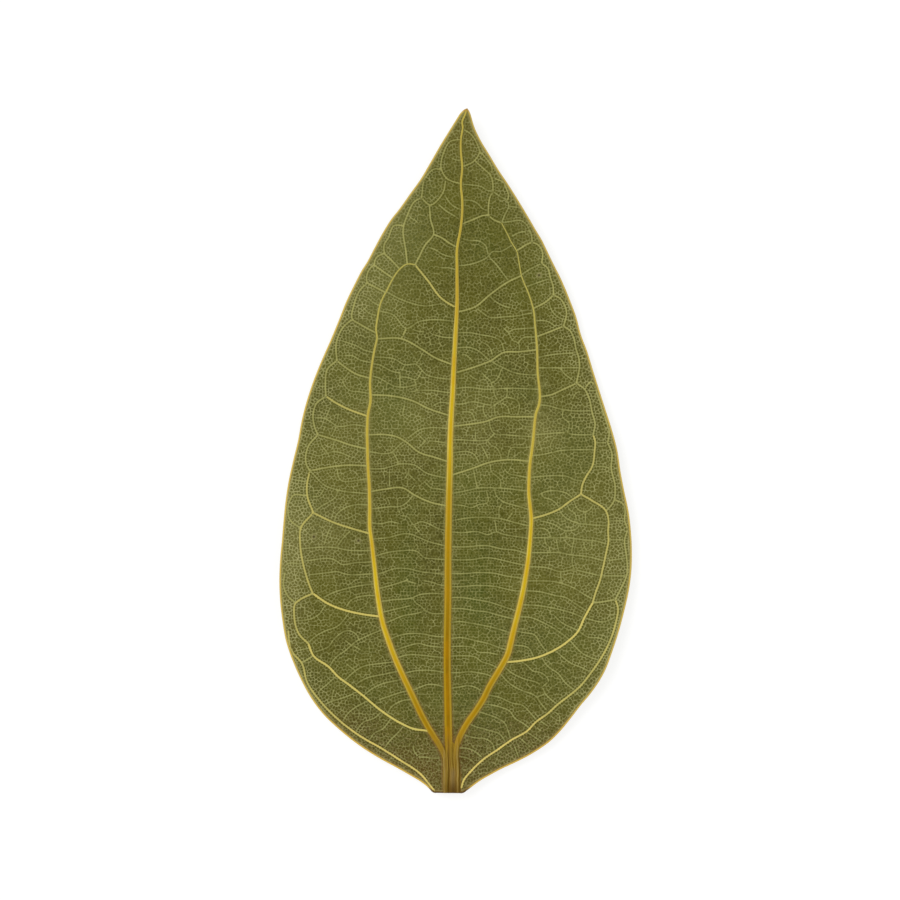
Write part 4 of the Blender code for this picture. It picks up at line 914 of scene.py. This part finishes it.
def rib_piece(name, line, widths, sink, highs, ripeness, youth):
    """A rib as a closed strap along a line; its height over the blade, ripeness and youth go by row."""
    form = bmesh.new()
    keys = ("across", "along", "under", "ripe", "young")
    across, along, under, ripe, young = [form.verts.layers.float.new(key) for key in keys]
    line = thinned(line, RIB_STEP)
    rows = rows_of(line)
    halves = rib_half(widths, rows)
    tops = np.interp(rows, *zip(*highs)) * MM + BLADE / 2 + FILLET_HIGH
    mids = dish_height(*line.T) + UNDER_GAP + BLADE / 2
    ring = bmesh.ops.create_circle(form, cap_ends=False, radius=1, segments=RING)["verts"]
    for k, (point, normal) in enumerate(zip(line, left_normals(line))):
        edges = {edge for vert in ring for edge in vert.link_edges if edge.other_vert(vert) in ring}
        if k < len(line) - 1:
            grown = bmesh.ops.extrude_edge_only(form, edges=list(edges))["geom"]
            following = [item for item in grown if isinstance(item, bmesh.types.BMVert)]
        for vert in ring:
            sideways = math.copysign(abs(vert.co.x) ** FLAT_SIDE, vert.co.x)
            upward = abs(vert.co.y) ** FLAT_TOP
            reach = tops[k] if vert.co.y > 0 else -(BLADE / 2 + sink)
            vert[across], vert[along] = sideways, k * RIB_STEP
            vert[under] = 1.0 if vert.co.y < UNDER_FROM else 0.0
            vert[ripe] = np.interp(rows[k], *zip(*ripeness))
            vert[young] = np.interp(rows[k], *zip(*youth))
            x, y = point - normal * halves[k] * sideways
            vert.co = (x, y, max(mids[k] + reach * upward, 0.0))
        ring = following
    bmesh.ops.holes_fill(form, edges=[edge for edge in form.edges if edge.is_boundary], sides=0)
    bmesh.ops.recalc_face_normals(form, faces=list(form.faces))
    return finished(form, name)


midrib = rib_piece("midrib", rib_lines[0], MIDRIB_WIDTHS, sink=0.3 * MM,
                   highs=[(110, 0.16), (330, 0.42), (760, 0.75)],
                   ripeness=[(300, 0.25), (380, 0.05), (440, 0.05), (490, 0.55), (570, 0.78), (650, 1.0)],
                   youth=[(110, 0.6), (200, 0.5), (300, 0.2), (380, 0.0)])
left_rib = rib_piece("left_rib", rib_lines[1], LEFT_RIB_WIDTHS, sink=0.25 * MM,
                     highs=[(264, 0.16), (500, 0.36), (750, 0.62)],
                     ripeness=[(500, 0.15), (560, 0.0), (620, 0.05), (660, 0.3), (710, 0.85)],
                     youth=[(264, 1.0), (340, 0.9), (420, 0.45), (520, 0.2), (560, 0.0)])
right_rib = rib_piece("right_rib", rib_lines[2], RIGHT_RIB_WIDTHS, sink=0.25 * MM,
                      highs=[(222, 0.14), (500, 0.38), (750, 0.62)],
                      ripeness=[(460, 0.1), (560, 0.0), (620, 0.25), (690, 0.8)],
                      youth=[(222, 1.0), (290, 1.0), (380, 0.7), (450, 0.4), (540, 0.0)])
stem_stub = rib_piece("stem_stub", smooth_route(STUB_ROUTE, FINE), STUB_WIDTHS, sink=0.5 * MM,
                      highs=[(741, 0.1), (765, 0.5)], ripeness=[(600, 0.8), (690, 1.0)],
                      youth=[(600, 0.0), (690, 0.0)])

# %% [markdown]
# Materials are node trees, and a tree of arithmetic is hard to read as a list of nodes and links. One
# small class wraps a socket, so that plus, minus and times write the Math nodes. Any other node comes
# from its method node, which first makes the node's settings and then fills its sockets. A colour is
# painted in layers: each has a mask, 0 to 1, and the colour that it brings.

# %% A class for shader arithmetic
class Wire:
    """One socket of a shader tree; arithmetic on it adds Math nodes."""

    def __init__(self, tree, socket=None):
        self.tree = tree
        self.socket = socket

    def node(self, kind, settings=None, sockets=None, out=0):
        """A new node with its settings and inputs, as the wire of one of its outputs."""
        made = self.tree.nodes.new("ShaderNode" + kind)
        for name, value in (settings or {}).items():
            setattr(made, name, value)
        for name, value in (sockets or {}).items():
            if isinstance(value, Wire):
                self.tree.links.new(value.socket, made.inputs[name])
            else:
                made.inputs[name].default_value = value
        return Wire(self.tree, made.outputs[out])

    def math(self, operation, first, second):
        """A Math node on two wires or numbers."""
        return self.node("Math", {"operation": operation}, {0: first, 1: second})

    def __add__(self, other):
        return self.math("ADD", self, other)

    def __sub__(self, other):
        return self.math("SUBTRACT", self, other)

    def __rsub__(self, other):
        return self.math("SUBTRACT", other, self)

    def __mul__(self, other):
        return self.math("MULTIPLY", self, other)

    __radd__ = __add__
    __rmul__ = __mul__

    def __abs__(self):
        return self.node("Math", {"operation": "ABSOLUTE"}, {0: self})

    def step(self, low, high):
        """0 below low, 1 above high and smooth between, for low above high too."""
        settings = {"interpolation_type": "SMOOTHSTEP"}
        return self.node("MapRange", settings, {0: self, 1: low, 2: high, 3: 0.0, 4: 1.0})

    def rows(self, first, last):
        """The same step for a Y coordinate, between two rows of the photograph."""
        return self.step(height_of_row(first), height_of_row(last))

    def attribute(self, name):
        """One of the values that were stored on the mesh's points."""
        return self.node("Attribute", {"attribute_name": name}, out="Fac")

    def part(self, axis):
        """One coordinate of a place."""
        return self.node("SeparateXYZ", None, {0: self}, out=axis)

    def stretched(self, *factors):
        """A place with its three coordinates multiplied, which squeezes a pattern."""
        return self.node("VectorMath", {"operation": "MULTIPLY"}, {0: self, 1: factors})

    def noise(self, size, detail=2.0):
        """Soft random clouds of about the given size, from 0 to 1."""
        return self.node("TexNoise", None, {"Vector": self, "Scale": 1 / size, "Detail": detail}, "Fac")

    def blend(self, first, second):
        """The first colour where this mask is 0 and the second where it is 1."""
        return self.node("Mix", {"data_type": "RGBA"}, {0: self, 6: first, 7: second}, 2)


def layered(colour, layers):
    """A colour with layers painted over it in turn, each a mask and the colour it brings."""
    for mask, paint in layers:
        colour = mask.blend(colour, paint)
    return colour


LIGHT = 1.08
BLADE_GLOSS = 0.011
RIB_GLOSS = 0.004


def seen(red, green, blue, gloss=BLADE_GLOSS):
    """The paint that shows as this screen colour, 0 to 255, in this studio's light and white gloss.

    The numbers in the inner function are the standard ones that turn a screen value into light.
    """
    def paint(value):
        value /= 255
        linear = value / 12.92 if value < 0.04045 else ((value + 0.055) / 1.055) ** 2.4
        return max(linear / LIGHT - gloss, 0.0)
    return paint(red), paint(green), paint(blue), 1.0


def woody(red, green, blue):
    """The same for a rib, whose gloss is fainter."""
    return seen(red, green, blue, RIB_GLOSS)


def new_material(name):
    """A material with nodes, its wires and the object coordinates."""
    material = bpy.data.materials.new(name)
    material.use_nodes = True
    wires = Wire(material.node_tree)
    return material, wires, wires.node("TexCoord", out="Object")


def connect(material, colour, roughness, specular, normal):
    """Plugs the finished wires into the material's Principled shader."""
    shader = material.node_tree.nodes["Principled BSDF"]
    for name, wire in (("Base Color", colour), ("Roughness", roughness), ("Normal", normal)):
        material.node_tree.links.new(wire.socket, shader.inputs[name])
    shader.inputs["Specular IOR Level"].default_value = specular


# %% [markdown]
# The blade is dull olive, cloudy at the scale of a centimetre and speckled at the scale of a third of a
# millimetre. Lines of paler tissue lie over it: the fine net, the third veins, then the yellow second
# veins, and the dry golden margin. Each line has its own mask, made from the attribute that was
# measured above, and noise lets it fade in places, as it does on the real leaf.

# %% Masks for the blade
MEASURES = ("net", "branch", "cross", "loop", "yellow", "great", "edge", "flank", "rib", "beside",
            "pale", "green", "brown", "under")
PUNCTURES = ((538.4, 274.6), (313.5, 536), (358, 540))

blade_finish, wires, at = new_material("dried_blade")
measured = {key: wires.attribute(key) for key in MEASURES}

row_axis = at.part("Y")
tip = row_axis.rows(113, 109.5)
top = row_axis.rows(240, 170)
upper = row_axis.rows(330, 230)
below_top = row_axis.rows(330, 430)
lower_half = row_axis.rows(540, 680)
above_base = row_axis.rows(760, 640)
towards_base = row_axis.rows(690, 745)
near_cut = row_axis.rows(774, 788)
cut_band = row_axis.rows(784, 789)

mottle = at.noise(9 * MM, 4.0).step(0.3, 0.7)
cool = at.noise(13 * MM, 3.0).step(0.45, 0.65)
speckle = at.noise(0.33 * MM).step(0.4, 0.62)
dots = at.noise(0.28 * MM).step(0.56, 0.7)
fade = at.noise(1.6 * MM).step(0.35, 0.65)
bold = at.noise(3.5 * MM).step(0.35, 0.65)
gaps = at.stretched(0.55, 1.5, 1).noise(0.6 * MM).step(0.4, 0.6)
comb = at.stretched(0.28, 1.9, 1).noise(0.8 * MM).step(0.54, 0.66)

beside = measured["beside"].step(0.15, 0.75)
cell_middle = 1 - measured["net"].step(0.15, 0.6)
cell_middle = cell_middle * (0.1 + 0.28 * measured["flank"]) * (1 - 0.6 * measured["pale"])
calm = 1 - 0.35 * measured["green"] - 0.3 * towards_base - 0.2 * beside
calm = calm + above_base * (0.35 * measured["flank"] + 0.35 * measured["pale"])
net_line = measured["net"].step(0.6, 0.99) * (0.05 + 0.35 * fade + 0.45 * gaps)
branch_line = measured["branch"].step(0.66, 0.97) * (0.15 + 0.35 * bold + 0.25 * gaps)
cross_line = measured["cross"].step(0.6, 0.88) * (0.4 + 0.35 * fade + 0.15 * gaps)
loop_line = (measured["loop"] - 0.05 * top).step(0.6, 0.82) * (1 - 0.2 * top)
halo = measured["rib"].step(0.4, 0.98) * (0.06 + 0.38 * below_top + 0.2 * towards_base)
faded = 0.75 + 0.25 * fade

# %% The blade's colours, from the tissue up to the edge
pale = seen(138, 134, 78)
colour = layered(mottle.blend(seen(76, 73, 15), seen(88, 86, 25)), [
    (cool * 0.3, seen(84, 96, 44)),
    (measured["green"] * 0.6, seen(66, 82, 28)),
    (measured["pale"] * 0.36, pale),
    (measured["flank"] * above_base * 0.14, pale),
    (measured["brown"] * 0.65, seen(98, 72, 28)),
    (towards_base * 0.42, seen(72, 54, 14)),
    (speckle * (0.42 + 0.15 * upper), seen(121, 118, 58)),
    (measured["edge"].step(0.0, 0.5) * (0.55 + 0.12 * upper),
     towards_base.blend(seen(150, 142, 84), seen(136, 112, 66))),
    (cell_middle, seen(72, 72, 20))])

open_tissue = 0.8 * measured["flank"] + 0.6 * measured["pale"]
halo_colour = lower_half.blend(seen(166, 156, 92), seen(160, 136, 78))
colour = layered(colour, [
    (net_line * calm * (1 - 0.4 * upper), open_tissue.blend(seen(144, 142, 86), seen(176, 172, 116))),
    (comb * below_top * (0.1 + 0.35 * beside), seen(146, 143, 86)),
    (dots * towards_base * 0.6, seen(170, 154, 104)),
    (branch_line * calm * (1 - 0.35 * upper), seen(160, 158, 102)),
    (halo, towards_base.blend(halo_colour, seen(144, 112, 62))),
    (cross_line, seen(160, 159, 98)),
    (loop_line * faded, seen(168, 165, 98)),
    (measured["yellow"].step(0.56, 0.8) * faded,
     towards_base.blend(seen(192, 181, 100), seen(226, 204, 112))),
    (measured["great"].step(0.52, 0.76) * (0.95 - 0.5 * near_cut), seen(214, 198, 108))])

edge_colour = towards_base.blend(seen(218, 190, 96), seen(224, 188, 88))
colour = layered(colour, [
    (measured["edge"].step(0.48, 0.56) * 0.3, seen(138, 110, 54)),
    (measured["edge"].step(0.56, 0.78) * (0.95 - 0.14 * upper),
     cut_band.blend(edge_colour, seen(100, 74, 36))),
    (tip * 0.7, seen(172, 120, 56))])

# Three small punctures, each a pale ring round a dark dot.
flat_place = at.stretched(1, 1, 0)
for x, y in place(PUNCTURES):
    gap = wires.node("VectorMath", {"operation": "DISTANCE"}, {0: flat_place, 1: (x, y, 0)}, "Value")
    colour = layered(colour, [
        (gap.step(0.65 * MM, 0.4 * MM) * 0.45, seen(158, 152, 100)),
        (gap.step(0.3 * MM, 0.12 * MM) * 0.8, seen(62, 52, 20))])
colour = layered(colour, [(measured["under"] * 0.6, seen(150, 146, 100))])
grain = at.noise(0.22 * MM, 3.0)
bump = wires.node("Bump", None, {"Strength": 0.35, "Distance": 0.04 * MM, "Height": grain})
connect(blade_finish, colour, roughness=0.66 - 0.16 * loop_line, specular=0.15, normal=bump)

# %% [markdown]
# A rib is golden, woody and a little shiny. Its shoulders are brighter than its back, a painted highlight,
# and the right shoulder gets painted light against the shade that the sun from the left gives it. Its
# fibres run lengthwise, and towards the cut stem it turns brown. The pattern follows the rib, so it
# reads the attributes across and along instead of the place in space. In the stub a dull tongue lies in
# the middle, between pale strands and painted shade in the grooves.

# %% The ribs' material
PALE_STRANDS, GROOVE_SHADE_COLUMNS = (443.6, 456.8, 462.6), (447.9, 458.9)
STRAND_HALF = 1.1
FIBRES_ACROSS, FIBRES_ALONG = 4.5, 150

rib_finish, wires, at = new_material("dried_rib")
row_axis = at.part("Y")
column_axis = at.part("X") + 0.5 * MM * (at.noise(3 * MM) - 0.5)


def stub_line(column, half):
    """1 on a lengthwise line at a traced column, fading to 0 at half a width of it, in pixels."""
    return 1 - abs(column_axis - (column - MIDDLE_COLUMN) * PIXEL).step(0.0, half * PIXEL)


base = row_axis.rows(722, 765)
cut_end = row_axis.rows(774, 791)
tongue = row_axis.rows(764, 772) * stub_line(452.2, 4.5)
ripe = wires.attribute("ripe")
across = wires.attribute("across")
along = wires.attribute("along")
strand = wires.node("CombineXYZ", None, {0: across * FIBRES_ACROSS, 1: along * FIBRES_ALONG})
fibres = strand.noise(1.0, 3.0).step(0.35, 0.65)
blotches = at.noise(2.5 * MM, 3.0).step(0.35, 0.65)

back_colour = ripe.blend(woody(217, 187, 36), woody(142, 106, 0))
# Painted highlight: both shoulders get a brighter colour than the back, as if light caught them.
shoulder_highlight_colour = ripe.blend(woody(236, 216, 112), woody(184, 154, 40))
colour = layered(abs(across).step(0.3, 0.7).blend(back_colour, shoulder_highlight_colour), [
    (fibres * 0.3, woody(164, 122, 6)),
    (blotches * 0.25, woody(200, 142, 16)),
    # Painted light: the right shoulder, away from the sun, is brightened to cancel its shade.
    (across.step(0.15, 0.85) * 0.28, woody(224, 196, 86)),
    (wires.attribute("young") * 0.85, woody(184, 179, 98)),
    (base * 0.85, fibres.blend(woody(160, 134, 62), woody(104, 78, 24))),
    (tongue * 0.7, woody(136, 114, 72)),
    *[(base * stub_line(column, STRAND_HALF) * 0.5, woody(180, 156, 96)) for column in PALE_STRANDS],
    # Painted shade: a dark line in each groove between the stub's strands.
    *[(base * stub_line(column, STRAND_HALF) * 0.8, woody(78, 54, 12)) for column in GROOVE_SHADE_COLUMNS],
    (cut_end * (0.35 + 0.5 * stub_line(452, 9)), woody(86, 60, 18)),
    (wires.attribute("under") * 0.4, woody(176, 152, 96))])
bump = wires.node("Bump", None, {"Strength": 0.4, "Distance": 0.06 * MM, "Height": fibres})
connect(rib_finish, colour, roughness=0.5 + 0.12 * base, specular=0.04, normal=bump)

for piece in (blade_left, blade_right):
    piece.data.materials.append(blade_finish)
for piece in (midrib, left_rib, right_rib, stem_stub):
    piece.data.materials.append(rib_finish)

# %% [markdown]
# The photograph was taken from straight above with a white ground. A long lens far away gives the same
# flat view. The floor is a white sheet under soft light that comes a little more from the left. It lies
# a hair under the leaf, so that no two faces share a plane. The traced scale holds at the view height,
# and the trace shift, in pixels, brings the render onto the photograph.

# %% Floor, camera and light
LENS = 200
SENSOR = 36
PICTURE_SIDE = 900
VIEW_HEIGHT = 1.5 * MM
TRACE_SHIFT = (0.45, 0.75)
CLIP = (0.01, 20)
FLOOR_HALF, FLOOR_GAP = 3, 0.02 * MM
FLOOR_GREY, FLOOR_GLOW, FLOOR_ROUGHNESS = 0.3, 0.74, 0.9
WORLD_LIGHT, SUN_LIGHT = 0.82, 0.95
SUN_FROM, SUN_SPREAD = (-0.55, 0.35, 1), math.radians(30)

floor_form = bmesh.new()
lowered = Matrix.Translation((0, 0, -FLOOR_GAP))
bmesh.ops.create_grid(floor_form, x_segments=1, y_segments=1, size=FLOOR_HALF, matrix=lowered)
floor_mesh = bpy.data.meshes.new("floor")
floor_form.to_mesh(floor_mesh)
floor_form.free()
floor = bpy.data.objects.new("floor", floor_mesh)
floor_paint = bpy.data.materials.new("white_floor")
floor_paint.use_nodes = True
floor_shader = floor_paint.node_tree.nodes["Principled BSDF"]
floor_shader.inputs["Base Color"].default_value = (FLOOR_GREY, FLOOR_GREY, FLOOR_GREY, 1)
floor_shader.inputs["Roughness"].default_value = FLOOR_ROUGHNESS
floor_shader.inputs["Emission Color"].default_value = (1, 1, 1, 1)
floor_shader.inputs["Emission Strength"].default_value = FLOOR_GLOW
floor_mesh.materials.append(floor_paint)
bpy.context.scene.collection.objects.link(floor)

camera_data = bpy.data.cameras.new("camera")
camera_data.lens = LENS
camera_data.sensor_width = SENSOR
camera_data.clip_start, camera_data.clip_end = CLIP
camera = bpy.data.objects.new("camera", camera_data)
bpy.context.scene.collection.objects.link(camera)
middle_of_picture = place([(PICTURE_SIDE / 2 - TRACE_SHIFT[0], PICTURE_SIDE / 2 - TRACE_SHIFT[1])])[0]
camera.location = (*middle_of_picture, VIEW_HEIGHT + PICTURE_SIDE * PIXEL * LENS / SENSOR)
bpy.context.scene.camera = camera

world = bpy.data.worlds.new("studio")
world.use_nodes = True
world.node_tree.nodes["Background"].inputs["Color"].default_value = (1, 1, 1, 1)
world.node_tree.nodes["Background"].inputs["Strength"].default_value = WORLD_LIGHT
bpy.context.scene.world = world
sun_data = bpy.data.lights.new("window", "SUN")
sun_data.energy = SUN_LIGHT
sun_data.angle = SUN_SPREAD
sun = bpy.data.objects.new("window", sun_data)
sun.rotation_euler = Vector(SUN_FROM).to_track_quat("Z", "Y").to_euler()
bpy.context.scene.collection.objects.link(sun)
bpy.context.scene.view_settings.view_transform = "Standard"
bpy.context.scene.view_settings.look = "None"
